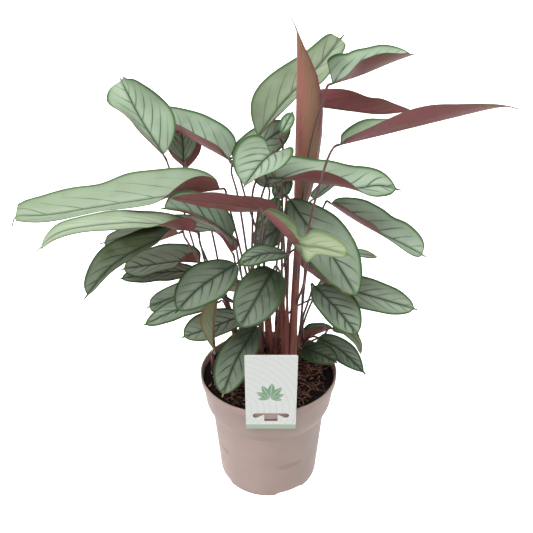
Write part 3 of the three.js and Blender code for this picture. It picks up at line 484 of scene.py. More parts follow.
      [.95, .35, .45, 5], [[56, 86, 346], [86, 100, 366], [116, 112, 370], [140, 122, 358]]],
    ["leaf_back_06", "back", 47, [.2, .2, .95], [.2, .3, .95], [15, 10, 5], [15, 10, 5],
      [.95, .35, .45, 5], [[69, 90, 208], [96, 106, 222], [122, 122, 221], [143, 132, 209]]],
]
LEAVES = [Leaf(*row[:7], Outline(*row[7]), row[8]) for row in LEAF_ROWS]
print("leaves:", len(LEAVES))

# %% Bends of the stalks that show
BENDS = {
    "leaf_top_05": [[-8, 75, 282], [-27, 73, 349], [-37, 71, 386]],
    "leaf_back_05": [[27, 70, 284], [39, 78, 322]],
    "leaf_right_08": [[24, 56, 304], [32, 50, 371], [36, 36, 445]],
    "leaf_back_03": [[23, 58, 273], [24, 52, 306]],
    "leaf_back_02": [[23, 62, 271], [28, 60, 286]],
    "leaf_right_09": [[42, 28, 247], [50, 38, 280], [69, 46, 289]],
    "leaf_front_05": [[-8, 0, 318], [-3, -26, 358], [4, -44, 381]],
    "leaf_left_01": [[-28, 26, 279], [-40, 24, 338], [-46, 16, 370]],
    "leaf_left_02": [[-61, 23, 252], [-71, 10, 297], [-75, -20, 334]],
    "leaf_left_03": [[-68, 8, 260], [-80, -17, 316], [-88, -44, 353]],
    "leaf_left_04": [[-36, 37, 244], [-40, 27, 286]],
    "leaf_left_05": [[-26, 14, 250], [-33, 2, 290], [-36, -6, 320]],
    "leaf_left_06": [[-62, 34, 262], [-71, 23, 286]],
    "leaf_left_09": [[-58, 48, 222]],
    "leaf_left_11": [[-70, 30, 258]],
    "leaf_left_07": [[-22, -8, 242], [-31, -19, 297]],
    "leaf_front_01": [[9, 12, 216], [13, -8, 270], [11, -40, 312]],
    "leaf_front_02": [[-2, 12, 180], [-9, 0, 208]],
    "leaf_front_06": [[-12, -4, 283], [-10, -19, 331], [-8, -50, 361], [-6, -76, 383]],
    "leaf_front_04": [[-18, -8, 345], [-16, -22, 399], [-5, -32, 424]],
    "leaf_low_04": [[43, 24, 170], [54, 24, 177], [71, 25, 187]],
    "leaf_right_02": [[42, 14, 218], [46, -8, 253], [48, -30, 282]],
    "leaf_right_03": [[43, 22, 203], [53, 16, 241], [62, 8, 263]],
    "leaf_right_04": [[46, 14, 297], [56, 14, 350], [61, 8, 367]],
    "leaf_right_05": [[-13, -18, 359], [-8, -30, 391], [-3, -35, 408]],
    "leaf_right_06": [[38, -12, 272], [37, -68, 324], [36, -84, 365], [42, -87, 404], [49, -82, 431],
    [57, -62, 446]],
    "leaf_right_07": [[34, -8, 355], [37, -10, 392], [41, -12, 433], [48, -12, 467], [54, -8, 484]],
    "leaf_top_01": [[12, 29, 364], [-4, 29, 418]],
    "leaf_top_02": [[-87, 95, 243], [-100, 93, 294], [-108, 80, 347], [-117, 62, 397]],
    "leaf_top_03": [[-32, 24, 354], [-37, 38, 375], [-43, 52, 392]],
    "leaf_top_04": [[-73, 50, 257], [-86, 62, 306], [-97, 90, 340], [-103, 108, 373]],
    "leaf_top_06": [[15, -2, 365], [14, -12, 405], [14, -17, 443]],
    "leaf_mid_01": [[28, 40, 335], [32, 38, 383], [31, 33, 398]],
    "leaf_mid_02": [[10, 16, 300], [19, 16, 364], [19, 17, 376]],
}
print("bent stalks:", len(BENDS))

# %% [markdown]
# ## Curves
# A midrib or a stalk is a smooth curve through a few points. With a power of 0 the points are
# evenly spaced in time, and with 0.5 the curve keeps close to points that lie far apart.

# %% Smooth curves
class Curve:
    """A smooth curve through points, read by its share of length."""

    def __init__(self, points, power=0.0, steps=40):
        p = np.array(points, float)
        p = np.vstack([2 * p[0] - p[1], p, 2 * p[-1] - p[-2]])
        t = np.linspace(0, 1, steps, endpoint=False)[:, None]
        line = []
        for a, b, c, d in zip(p, p[1:], p[2:], p[3:]):
            t0, t1, t2 = (np.linalg.norm(v) ** power for v in (b - a, c - b, d - c))
            start = ((b - a) / t0 - (c - a) / (t0 + t1) + (c - b) / t1) * t1
            end = ((c - b) / t1 - (d - b) / (t1 + t2) + (d - c) / t2) * t1
            line.append(b + start * t + (3 * (c - b) - 2 * start - end) * t ** 2
                        + (2 * (b - c) + start + end) * t ** 3)
        self.line = np.vstack([*line, p[-2]])
        run = np.r_[0, np.cumsum(np.linalg.norm(np.diff(self.line, axis=0), axis=1))]
        self.length = run[-1]
        self.share = run / run[-1]

    def at(self, along):
        along = np.clip(along, 0, 1)
        return np.stack([np.interp(along, self.share, self.line[:, k]) for k in range(3)], -1)

    def direction(self, along, step=0.02):
        ahead = self.at(np.asarray(along) + step) - self.at(np.asarray(along) - step)
        return ahead / np.linalg.norm(ahead, axis=-1, keepdims=True)


print("longest midrib:", round(max(Curve(leaf.rib).length for leaf in LEAVES)), "mm")

# %% [markdown]
# ## Leaf blades
# A blade is a thin sheet that follows its midrib. Its halves curl up from the rib, some so far that
# the burgundy underside shows. The frame has at most nine stretches along a blade. Here there are
# more than fifty, with a groove over the midrib, low ribs over the side veins and a slightly waved
# margin.

# %% Outline and curl of a blade
STALK_HALF = 1.3
TIP_HALF = 0.5
BLADE_END = 0.95
FOLD_AT_RIB = 0.6
LOBE_FADE = 0.12
WAIST_SPREAD = 0.1
HORN_SPREAD = 0.06
NO_CURL = 1e-4


def bell(along, place, spread):
    """A smooth bump of height 1 at a place along a blade."""
    return np.exp(-((along - place) / spread) ** 2)


def half_width(along, width, outline):
    """Half of the width along a blade, which ends in a narrow drip tip."""
    share = np.minimum(along / BLADE_END, 1)
    bluntness = outline.blunt_base + (outline.blunt_tip - outline.blunt_base) * share
    oval = np.maximum(np.sin(np.pi * share ** outline.widest), 0) ** bluntness
    waist = 1 - outline.waist_depth * bell(along, outline.waist, WAIST_SPREAD)
    blade = np.maximum(STALK_HALF, width / 2 * oval * waist)
    drip = STALK_HALF + (TIP_HALF - STALK_HALF) * (along - BLADE_END) / (1 - BLADE_END)
    return np.where(along >= BLADE_END, drip, blade)


def ease(value):
    """From 0 to 1, slow at both ends."""
    share = np.clip(value, 0, 1)
    return share * share * (3 - 2 * share)


def fold_at(along, fold, knot, end):
    """Angle of a half along the blade, eased from base to knot and from knot to end."""
    base, third, tip = fold
    early = base + (third - base) * ease(along / knot)
    late = third + (tip - third) * ease((along - knot) / (end - knot))
    return np.radians(np.where(along < knot, early, late))


def curl(across, fold):
    """Sideways and upward share of a half that curls up from the rib to its edge."""
    start = fold * FOLD_AT_RIB
    rate = np.where(np.abs(fold - start) < NO_CURL, NO_CURL, fold - start)
    end = start + rate * across
    return (np.sin(end) - np.sin(start)) / rate, (np.cos(start) - np.cos(end)) / rate


print("half width in the middle of a 60 mm blade:", half_width(np.array(0.5), 60, LEAVES[-1].outline))

# %% The sheet of a blade
ROWS = 54
SIDE = np.array([0.025, 0.06, 0.13, 0.24, 0.36, 0.48, 0.6, 0.71, 0.81, 0.89, 0.955, 1])
ACROSS = np.r_[-SIDE[::-1], 0, SIDE]
ROW_CROWDING = 0.035
WAVES = 2.5
WAVE_HIGH = 0.9
RIGHT_WAVE = -0.8
FULL_WAVE_HALF = 20


def blade_sheet(leaf, wave_start):
    """Points of the middle of a blade, rows from base to tip and columns from left to right."""
    curve = Curve(leaf.rib)
    outline = leaf.outline
    t = np.linspace(0, 1, ROWS)
    along = t - ROW_CROWDING * np.sin(2 * np.pi * t)
    tangent = curve.direction(along)
    face = np.array(leaf.face_base) + (np.array(leaf.face_tip) - np.array(leaf.face_base)) * along[:, None]
    up = face - (face * tangent).sum(1, keepdims=True) * tangent
    up /= np.linalg.norm(up, axis=1, keepdims=True)
    side = np.cross(tangent, up)
    half = half_width(along, leaf.width, outline)
    left = fold_at(along, leaf.fold_left, FOLD_KNOT, 1)[:, None]
    right = fold_at(along, leaf.fold_right, outline.knot, outline.end)[:, None]
    v = ACROSS[None, :]
    out, rise = curl(np.abs(v), np.where(v < 0, left, right))
    lobe = outline.lobe * v ** 2 * (np.exp(-along / LOBE_FADE) * half / (leaf.width / 2))[:, None]
    wave = np.sin(2 * np.pi * WAVES * along + wave_start)[:, None] * np.where(v < 0, 1, RIGHT_WAVE)
    calm = np.sin(np.pi * along) * np.minimum(1, half / FULL_WAVE_HALF)
    wave = WAVE_HIGH * wave * v ** 2 * calm[:, None]
    stretch = 1 + outline.horn_reach * bell(along, outline.horn, HORN_SPREAD)
    stretch *= 1 - (1 - outline.narrow) * ease((along - outline.knot) / (outline.end - outline.knot))
    h = half[:, None] * np.where(v > 0, stretch[:, None], 1)
    points = (curve.at(along)[:, None, :] + side[:, None, :] * (np.sign(v) * out * h)[..., None]
              + up[:, None, :] * (rise * h + wave)[..., None] - tangent[:, None, :] * lobe[..., None])
    return points, along, half, curve.length


def sheet_normals(points):
    """The way that a sheet faces at each of its points."""
    down = np.gradient(points, axis=0)
    right = np.gradient(points, axis=1)
    normal = np.cross(right, down)
    return normal / np.maximum(np.linalg.norm(normal, axis=2, keepdims=True), 1e-9)


print("points in one blade:", 2 * ROWS * len(ACROSS))

# %% [markdown]
# ## Looks of single leaves
# Leaves differ with age and place: high ones are pale silver, low and inner ones darker, and the
# youngest is yellow-green. The darkness of low and inner leaves is partly age and partly painted
# shade from the leaves above them. Each leaf has a darkness, a youth, and a dryness of its tip.

# %% Looks of single leaves
PLAIN_LOOK = (0.45, 0, 0)
# For each kind of leaf, in the order of their numbers: dark, young, dry tip
LOOKS = {
    "left": [(0.3, 0.12, 0), (0.15, 0.2, 0.3), (1.0, 0.05, 0), (0, 0, 0), (0.5, 0, 0.5), (0, 0, 0),
             (0.6, 0, 0), (0.65, 0, 0.2), (0.1, 0, 0.2), (0, 0, 0), (0, 0, 0)],
    "front": [(0.9, 0, 0), (0.75, 0, 0.9), (0.45, 0, 0), (0.2, 0.05, 0), (0.3, 0, 0), (0.25, 0.4, 0.2)],
    "right": [(0.45, 0, 0.8), (0.65, 0, 0), (0.45, 0, 0), (0.3, 0, 0), (0.25, 0, 0), (0.2, 0.1, 0.5),
              (0.2, 0, 0), (0.35, 0, 0), (0, 0.1, 0.8)],
    "low": [(0.6, 0.4, 1.0), (1.0, 0, 0), (0.7, 0, 0), (0.6, 0.4, 0.3), (0.8, 0, 0)],
    "top": [(0.35, 0.2, 0), (0.12, 0.08, 0), (0.25, 0, 0), (0, 0, 0), (0.2, 0, 0), (0, 0, 0)],
    "mid": [(0.9, 0, 0), (0.6, 0, 0), PLAIN_LOOK],
    "back": [PLAIN_LOOK, PLAIN_LOOK, (0.95, 0, 0), PLAIN_LOOK, PLAIN_LOOK, PLAIN_LOOK],
}


def look_of(leaf):
    """How dark, how young and how dry at its tip a leaf is."""
    _, kind, number = leaf.name.split("_")
    return LOOKS[kind][int(number) - 1]


print("darkest leaf:", max(LEAVES, key=lambda leaf: look_of(leaf)[0]).name)

# %% Blades
BLADE_HALF_THICK = 0.36
THINNER_EDGE = 0.4
VEINS = 6
NARROWEST_GAP = 11
VEIN_SLOPE = 0.85
VEIN_BEND = 0.75
SLENDER = 0.9
RIGHT_VEIN_SHIFT = 0.37
VEIN_HIGH = 0.16
VEIN_GROWS = 8
RIB_WIDE = 1.3
RIB_HIGH = 0.5
GROOVE = 0.3
RIB_FADE = 0.7
LOOK_SPREAD = 0.04


def blade_faces(rows, columns):
    """Both sides of a blade, and the thin wall round its edge."""
    count = rows * columns
    grid = np.arange(count).reshape(rows, columns)
    edge = np.r_[grid[:, -1], grid[-1, -2::-1], grid[-2::-1, 0], grid[0, 1:-1]].tolist()
    sides = grid_faces(rows, columns) + [face[::-1] for face in grid_faces(rows, columns, start=count)]
    return sides + [(a, a + count, b + count, b) for a, b in zip(edge, edge[1:] + edge[:1])]


def make_blade(leaf, number, finish):
    """One blade: the sheet, thickened both ways, with a groove and a rib along its middle."""
    rng = np.random.default_rng(number)
    sheet, along, half, length = blade_sheet(leaf, rng.uniform(0, 2 * np.pi))
    normal = sheet_normals(sheet)
    reach = np.abs(ACROSS)[None, :]
    away = reach * half[:, None]
    gap = max(NARROWEST_GAP, length / VEINS)
    sweep = half[:, None] * max(1.0, length / leaf.width - SLENDER)
    vein = ((along * length)[:, None] - sweep * (VEIN_SLOPE * reach + VEIN_BEND * reach ** 2)) / gap
    vein = vein + np.where(ACROSS < 0, 0.0, RIGHT_VEIN_SHIFT)[None, :] + rng.uniform(0, 1)
    grown = np.minimum(1, away / VEIN_GROWS) * (1 - reach ** 6)
    crest = VEIN_HIGH * np.cos(2 * np.pi * vein) * grown
    ridge = np.exp(-(away / RIB_WIDE) ** 2) * (1 - RIB_FADE * along[:, None])
    thick = BLADE_HALF_THICK * (1 - THINNER_EDGE * reach ** 3)
    top = sheet + normal * (thick + crest - GROOVE * ridge)[..., None]
    bottom = sheet - normal * (thick - crest + RIB_HIGH * ridge)[..., None]
    dark, young, dry = look_of(leaf)
    values = {"along": along[:, None] * np.ones_like(away), "edge": half[:, None] - away, "from_rib": away,
              "vein": vein}
    piece = Piece()
    piece.add(np.vstack([top.reshape(-1, 3), bottom.reshape(-1, 3)]), blade_faces(*away.shape),
              **{name: np.tile(value.ravel(), 2) for name, value in values.items()}, vein_gap=gap,
              under=np.repeat([0.0, 1.0], away.size), dark=dark + rng.uniform(-LOOK_SPREAD, LOOK_SPREAD),
              young=young, dry=dry)
    return piece.make(leaf.name.replace("leaf", "blade"), finish, [leaf.name])


print("side veins on each half:", VEINS)

# %% [markdown]
# ## Finish of the leaves
# The upper side is silver-green, with a painted sheen in a band beside the midrib. The midrib and
# the curved side veins are dark green, fine veinlets run between them, and the margin is a thin dark
# line. Darker leaves are partly older and partly painted shade, with more painted shade towards their
# base. The underside is burgundy, browner in patches, with dark side veins and a pale midrib. Each
# mask below says where one of these is, and the colours are then laid over one another by their
# masks. Distances from rib, edge and veins are in millimetres.

# %% Masks on a leaf
leaf_skin = Finish("leaf_skin")
along, edge, from_rib, under = leaf_skin.attributes("along", "edge", "from_rib", "under")
dark, young, dry = leaf_skin.attributes("dark", "young", "dry")
vein, vein_gap = leaf_skin.attributes("vein", "vein_gap")
patches = leaf_skin.grain(45, 4)
speckle = leaf_skin.grain(700, 2)

across = from_rib / (from_rib + edge)
off_vein = abs(vein.fract() - 0.5) * vein_gap
uneven = 0.4 + 0.6 * leaf_skin.grain(30, 2).rise(0.35, 0.6)
vein_strength = uneven * across.fall(0.4, 0.9) * (1 - 1.5 * young)
vein_line = off_vein.fall(0.3, 1.9) * vein_strength
vein_shade = off_vein.fall(1.0, 6.0) * vein_strength
veinlets = abs((vein * 6).fract() - 0.5) * 2
rib_line = from_rib.fall(0.5, 1.5) * along.fall(0.85, 1.0)
rib_shade = from_rib.fall(0.8, 3.8)
# painted sheen: a lighter band a few millimetres beside the midrib
painted_rib_sheen = from_rib.rise(1.5, 4.0) * from_rib.fall(4.0, 16.0)
margin = edge.fall(1.2, 4.2)
fresh_tip = (along.rise(0.5, 1.0) * 0.15).most(along.rise(0.88, 1.0) * 0.8)
# painted shade together with age: a leaf's darkness, partly painted shade, grows towards its base, and
# base_shade paints near-black shade at the base of dark leaves
age_and_painted_shade = dark * (1.15 - 0.4 * along) + patches.rise(0.4, 0.8) * 0.16 - 0.06
base_shade = dark * along.fall(0.0, 0.4)
print("masks ready for", leaf_skin.material.name)

# %% Upper side
SILVER = srgb(174, 194, 170)
PAINTED_SHEEN = srgb(206, 218, 206)
TIP_GREEN = srgb(112, 146, 72)
VEINLET_GREEN = srgb(112, 142, 104)
AGED_AND_SHADED_GREEN = srgb(46, 58, 36)
YOUNG_GREEN = srgb(156, 162, 98)
BASE_SHADE = srgb(16, 22, 15)
VEIN_GREEN = srgb(46, 80, 48)
AGED_AND_SHADED_VEIN = srgb(14, 26, 16)
EDGE_GREEN = srgb(98, 136, 74)
MARGIN_GREEN = srgb(52, 92, 36)
AGED_AND_SHADED_MARGIN = srgb(28, 50, 24)

deep_green = leaf_skin.mix(VEIN_GREEN, (AGED_AND_SHADED_VEIN, dark))
rim_green = leaf_skin.mix(MARGIN_GREEN, (AGED_AND_SHADED_MARGIN, dark * 0.7))
deep = (vein_line * 0.88).most(rib_line * 0.92 * (1 - young)).most(rib_shade * (0.22 + 0.3 * dark))
upper = leaf_skin.mix(
    SILVER,
    (TIP_GREEN, fresh_tip),
    (PAINTED_SHEEN, painted_rib_sheen * 0.35),
    (VEINLET_GREEN, (veinlets.rise(0.3, 1.0) * 0.22).most(vein_shade * 0.28)),
    (AGED_AND_SHADED_GREEN, age_and_painted_shade),
    (YOUNG_GREEN, young),
    (BASE_SHADE, base_shade * 0.75),
    (deep_green, deep),
    (EDGE_GREEN, edge.fall(2.0, 10.0) * 0.28 * (1 - dark)),
    (rim_green, margin * 0.9 * (1 - 1.2 * young)))
print("upper side of", leaf_skin.material.name)

# %% Underside and dry tips
BURGUNDY = srgb(146, 80, 84)
BROWN_RED = srgb(138, 100, 82)
VEINLET_PINK = srgb(172, 122, 118)
VEIN_RED = srgb(84, 40, 46)
RIB_PALE = srgb(170, 138, 98)
MARGIN_OLIVE = srgb(96, 92, 62)
DRY_BROWN = srgb(176, 148, 104)
WITHERED_BROWN = srgb(132, 108, 62)

lower = leaf_skin.mix(
    BURGUNDY,
    (BROWN_RED, patches.rise(0.35, 0.75) * 0.8),
    (VEINLET_PINK, veinlets.rise(0.4, 1) * 0.25),
    (VEIN_RED, (vein_line * 0.55).most(rib_shade * 0.35)),
    (RIB_PALE, from_rib.fall(0.3, 1.0) * 0.6),
    (MARGIN_OLIVE, edge.fall(0.2, 1.4) * 0.6))
dead = dry * ((along + patches * 0.12).rise(1.0, 1.06)).most(margin * patches.rise(0.55, 0.7) * dry)
withered = dry.rise(0.94, 1.0) * (along.rise(0.3, 1.0) * 0.7).most(margin)
skin = leaf_skin.mix(upper, (lower, under.rise(0.4, 0.6)), (DRY_BROWN, dead), (WITHERED_BROWN, withered))
leaf_skin.set(base_color=skin, roughness=0.46 + 0.16 * patches - 0.1 * vein_line, specular_ior_level=0.2)
leaf_skin.bump(vein_line * -0.6 + veinlets * 0.14 + speckle * 0.12 + rib_line * -0.5, 0.0004, 0.6)
print("finish:", leaf_skin.material.name)

# %% Make all blades
blades = [make_blade(leaf, number, leaf_skin) for number, leaf in enumerate(LEAVES)]
print("blades:", len(blades), "faces:", sum(len(blade.data.polygons) for blade in blades))

# %% [markdown]
# ## Stalks and sheaths
# A stalk ends in a short swollen joint under its blade, which turns the blade to the light. At the
# other end it comes out of a sheath that wraps its neighbours, with a lapped edge that dries brown.
# Both are tubes: rings of points carried along a curve without twisting.

# %% Tubes
def ring_frames(curve, along):
    """Two directions across a curve at each place along it, carried without twisting."""
    tangents = curve.direction(along, 0.01)
    seed = np.array([1.0, 0, 0]) if abs(tangents[0][0]) < 0.9 else np.array([0, 1.0, 0])
    first = []
    for tangent in tangents:
        seed = seed - tangent * (seed @ tangent)
        seed /= np.linalg.norm(seed)
        first.append(seed)
    first = np.array(first)
    return first, np.cross(tangents, first)


def tube(curve, along, radii, sides, lap=0.0, turn=0.0):
    """Rings along a curve, closed at both ends. A lap makes the wall step out once round the ring."""
    first, second = ring_frames(curve, along)
    share = np.arange(sides) / sides
    angle = 2 * np.pi * share[None, :] + turn * np.asarray(along)[:, None]
    reach = np.asarray(radii)[:, None] * (1 + lap * (share[None, :] - 0.5))
    rings = (curve.at(along)[:, None, :] + first[:, None, :] * (np.cos(angle) * reach)[..., None]
             + second[:, None, :] * (np.sin(angle) * reach)[..., None])
    ends = [along[0], along[-1]]
    points = np.vstack([rings.reshape(-1, 3), curve.at(ends)])
    around = np.r_[np.tile(share, len(along)), 0, 0]
    return points, tube_faces(len(along), sides), around, np.r_[np.repeat(along, sides), ends]


print("tube helper ready")

# %% Where stalks run
SOIL_TOP = 145
SHEATH_START = SOIL_TOP + 3
JOINT_STRAIGHT = 5
BELOW_BEND = 30
BELOW_BLADE = 0.45
BELOW_SHEATH_TOP = 6
LOWEST_EXIT = SHEATH_START + 8
PLAIN_BEND_OUT = 0.4
PLAIN_BEND_UP = 0.65


def stalk_curve(leaf, shoot):
    """The stalk of a leaf. It leaves the middle of the sheath whose top is nearest to its first bend."""
    rib = Curve(leaf.rib)
    base = rib.at(0)
    bends = [np.array(bend, float) for bend in BENDS.get(leaf.name, [])]
    aim = bends[0] if bends else base
    foot, top = min(shoot["sheaths"], key=lambda sheath: np.hypot(*(np.array(sheath[1]) - aim)[:2]))[:2]
    low = np.array([*foot, SHEATH_START], float)
    height = aim[2] - (BELOW_BEND if bends else BELOW_BLADE * (aim[2] - SOIL_TOP))
    level = min(top[2] - BELOW_SHEATH_TOP, max(LOWEST_EXIT, height))
    root = low + (np.array(top) - low) * (level - SHEATH_START) / (top[2] - SHEATH_START)
    if not bends:
        bend = root + (base - root) * PLAIN_BEND_OUT
        bend[2] = root[2] + (base[2] - root[2]) * PLAIN_BEND_UP
        bends = [bend]
    return Curve([root, *bends, base - JOINT_STRAIGHT * rib.direction(0), base], power=0.5, steps=24)


print("first stalk:", round(stalk_curve(LEAVES[0], SHOOTS["left"]).length), "mm")

# %% Stalks
STALK_SIDES = 10
STALK_RING_GAP = 7
STALK_RADIUS = 1.3
JOINT_LENGTH = 13
JOINT_RADIUS = 1.55
STALK_END = 1.0


def add_stalk(piece, leaf, shoot, order):
    """A thin stalk, thicker again at the swollen joint under its blade."""
    curve = stalk_curve(leaf, shoot)
    rings = max(8, int(curve.length / STALK_RING_GAP))
    left = np.r_[np.linspace(curve.length, JOINT_LENGTH * 1.5, rings), np.linspace(JOINT_LENGTH * 1.4, 0, 10)]
    along = 1 - left / curve.length
    joint = np.clip(1 - np.abs(left - JOINT_LENGTH / 2) / (JOINT_LENGTH / 2), 0, 1) ** 0.5
    radii = STALK_RADIUS * (1.1 - 0.2 * along) + (JOINT_RADIUS - STALK_RADIUS) * joint
    radii[-1] = STALK_END
    points, faces, around, share = tube(curve, along, radii, STALK_SIDES)
    close = np.clip(1 - (1 - share) * curve.length / JOINT_LENGTH, 0, 1)
    rng = np.random.default_rng(order + len(leaf.name))
    piece.add(points, faces, joint=close, height=points[:, 2], sheath=0.0, dry=0.0, around=around,
              tint=rng.uniform(0, 1))


print("stalk helper ready")

# %% Sheaths and feet
SHEATH_SIDES = 28
SHEATH_RINGS = 26
STUB_DEPTH = 16
STUB_ABOVE = 8


def add_sheath(piece, sheath, number):
    """A wrapped sheath, widest a little above the soil, with its edge lapped over."""
    foot, top, radius, tip = sheath
    low = np.array([*foot, SHEATH_START - 4], float)
    curve = Curve([low, (low + np.array(top)) / 2, np.array(top, float)])
    along = np.linspace(0, 1, SHEATH_RINGS)
    radii = np.interp(along, [0, 0.2, 0.65, 1], [radius * 0.92, radius * 0.98, (radius * 2 + tip) / 3, tip])
    rng = np.random.default_rng(100 + number)
    points, faces, around, share = tube(curve, along, radii, SHEATH_SIDES, 0.16, rng.uniform(0.4, 1.4))
    piece.add(points, faces, joint=0.0, height=points[:, 2], sheath=1.0, dry=rng.uniform(0.0, 0.7),
              around=around, tint=rng.uniform(0, 1))


def add_foot(piece, foot, radius):
    """The joined base of a shoot, which swells out of the soil and closes over in a low dome."""
    curve = Curve([[*foot, SOIL_TOP - STUB_DEPTH], [*foot, SOIL_TOP - 4], [*foot, SOIL_TOP + STUB_ABOVE]])
    along = np.linspace(0, 1, 12)
    radii = radius * np.interp(along, [0, 0.5, 0.75, 0.9, 1], [0.8, 1, 0.97, 0.86, 0.6])
    points, faces, around, share = tube(curve, along, radii, SHEATH_SIDES, 0.1)
    piece.add(points, faces, joint=0.0, height=points[:, 2], sheath=1.0, dry=0.6, around=around, tint=0.3)


print("sheath helper ready")

# %% [markdown]
# ## Finish of stalks and sheaths
# Stalks are dark wine red and turn dull green at the swollen joint. Sheaths are a lighter red
# brown with long fibres, paler and dry along the lapped edge, and near black where they leave the
# soil.

# %% Stem finish
stem_skin = Finish("stem_skin")
joint, height, sheath = stem_skin.attributes("joint", "height", "sheath")
husk, around, tint = stem_skin.attributes("dry", "around", "tint")
fibres = stem_skin.grain(520, 3, (1, 1, 0.06))
blotch = stem_skin.grain(60, 3)
STALK_DARK = srgb(60, 36, 33)
STALK_RED = srgb(100, 62, 56)
SHEATH_RED = srgb(138, 72, 68)
SHEATH_PINK = srgb(168, 104, 94)
FIBRE_RED = srgb(96, 48, 48)
HUSK_TAN = srgb(176, 120, 92)
LAP_TAN = srgb(150, 112, 82)
JOINT_GREEN = srgb(84, 84, 58)
FOOT_BROWN = srgb(44, 26, 22)

stalk_color = stem_skin.mix(STALK_DARK, (STALK_RED, (blotch * 0.6 + tint * 0.5).rise(0.2, 1.0)))
sheath_color = stem_skin.mix(
    SHEATH_RED,
    (SHEATH_PINK, tint),
    (FIBRE_RED, fibres.rise(0.4, 0.7) * 0.7),
    (HUSK_TAN, husk * blotch.rise(0.3, 0.7) * 0.8),
    (LAP_TAN, around.rise(0.9, 0.995) * 0.7))
stem_color = stem_skin.mix(
    stalk_color,
    (sheath_color, sheath),
    (JOINT_GREEN, joint.rise(0.55, 0.95) * 0.7),
    (FOOT_BROWN, height.fall(SOIL_TOP + 1, SOIL_TOP + 27) * 0.75))
stem_skin.set(base_color=stem_color, roughness=0.42 + 0.25 * sheath + 0.1 * blotch)
stem_skin.bump(fibres * (0.3 + 0.7 * sheath) + blotch * 0.2, 0.0005, 0.7)
print("finish:", stem_skin.material.name)

# %% Make all shoots
for number, (shoot_name, shoot) in enumerate(SHOOTS.items()):
    piece = Piece()
    add_foot(piece, shoot["foot"], shoot["radius"])
    for k, wrap in enumerate(shoot["sheaths"]):
        add_sheath(piece, wrap, number * 10 + k)
    for order, leaf in enumerate([one for one in LEAVES if one.shoot == shoot_name]):
        add_stalk(piece, leaf, shoot, order)
    made = piece.make(f"stems_{shoot_name}", stem_skin, [f"shoot_{shoot_name}"])
    print(made.name, len(made.data.polygons))

# %% [markdown]
# ## The rolled young leaf
# A new leaf comes up rolled like a paper cone, with one margin lapped over the other. It is a tube
# whose wall steps out once round, and the step runs slowly round the roll towards the tip.

# %% Rolled leaf
# Height, left edge and right edge of the roll as seen from the front
ROLLED = [
    [352, 30, 38], [366, 28.5, 41.5], [383, 27, 47.5], [404, 27, 52.5], [427, 27, 55.5], [449, 27, 57.5],
    [473, 27, 57.5], [492, 27, 54.5], [508, 27, 50], [522, 27, 43], [537, 27, 34.5], [549, 26.6, 28.4],
    [556, 24, 25.4], [562, 20.6, 21.6],
]
ROLLED_DEPTH = 0.7
ROLLED_Y = 5
ROLL_SIDES = 40
ROLL_RINGS = 70
ROLL_LAP = 0.12
ROLL_START = 0.17
ROLL_TURN = 0.9


def make_rolled_leaf(finish):
    """Rings that follow the outline of the roll, flatter from front to back than from side to side."""
    rows = np.array(ROLLED)
    up = np.linspace(0, 1, ROLL_RINGS)
    z = rows[0, 0] + up * (rows[-1, 0] - rows[0, 0])
    left, right = np.interp(z, rows[:, 0], rows[:, 1]), np.interp(z, rows[:, 0], rows[:, 2])
    middle, half = (left + right) / 2, (right - left) / 2
    share = np.arange(ROLL_SIDES) / ROLL_SIDES
    angle = 2 * np.pi * (share[None, :] - ROLL_START) + ROLL_TURN * up[:, None]
    reach = half[:, None] * (1 + ROLL_LAP * (share[None, :] - 1))
    x = middle[:, None] + reach * np.cos(angle)
    y = ROLLED_Y + reach * ROLLED_DEPTH * np.sin(angle)
    rings = np.stack([x, y, z[:, None] * np.ones_like(x)], -1)
    ends = [[middle[k], ROLLED_Y, z[k]] for k in (0, -1)]
    piece = Piece()
    piece.add(np.vstack([rings.reshape(-1, 3), ends]), tube_faces(ROLL_RINGS, ROLL_SIDES),
              around=np.r_[np.tile(share, ROLL_RINGS), 0, 0], side=np.r_[np.cos(angle).ravel(), 0, 0],
              up=np.r_[np.repeat(up, ROLL_SIDES), 0, 1])
    return piece.make("rolled_leaf", finish, ["leaf_rolled"])


print("rolled leaf from", ROLLED[0][0], "to", ROLLED[-1][0], "mm")

# %% Finish of the rolled leaf
young_skin = Finish("young_leaf_skin")
up, around, side = young_skin.attributes("up", "around", "side")
streaks = young_skin.grain(420, 3, (1, 1, 0.03))
clouds = young_skin.grain(40, 3)
slant = abs(((side * 0.24 - up) * 6).fract() - 0.5) * 2
YOUNG_RED = srgb(160, 94, 86)
YOUNG_BROWN = srgb(136, 100, 74)
ROLL_SHADE_WINE = srgb(118, 66, 68)
STREAK_RED = srgb(104, 58, 54)
SLANT_PALE = srgb(184, 134, 108)
LAP_DARK = srgb(84, 50, 48)
ROLL_TIP_GREEN = srgb(140, 140, 92)

young_color = young_skin.mix(
    YOUNG_RED,
    (YOUNG_BROWN, (side + clouds * 0.8).rise(-0.6, 0.6)),
    # painted shade: a darker wine red on the right flank of the roll
    (ROLL_SHADE_WINE, (side + clouds * 0.5).rise(0.6, 1.2)),
    (STREAK_RED, streaks.rise(0.5, 0.75) * 0.4),
    (SLANT_PALE, slant.rise(0.93, 1) * 0.3),
    (LAP_DARK, around.rise(0.95, 0.99) * 0.4),
    (ROLL_TIP_GREEN, up.rise(0.88, 0.99) * 0.7))
young_skin.set(base_color=young_color, roughness=0.4 + 0.15 * clouds)
young_skin.bump(streaks * 0.5 + slant.rise(0.8, 1) * 0.3, 0.0004, 0.6)
rolled_leaf = make_rolled_leaf(young_skin)
print("faces:", len(rolled_leaf.data.polygons))

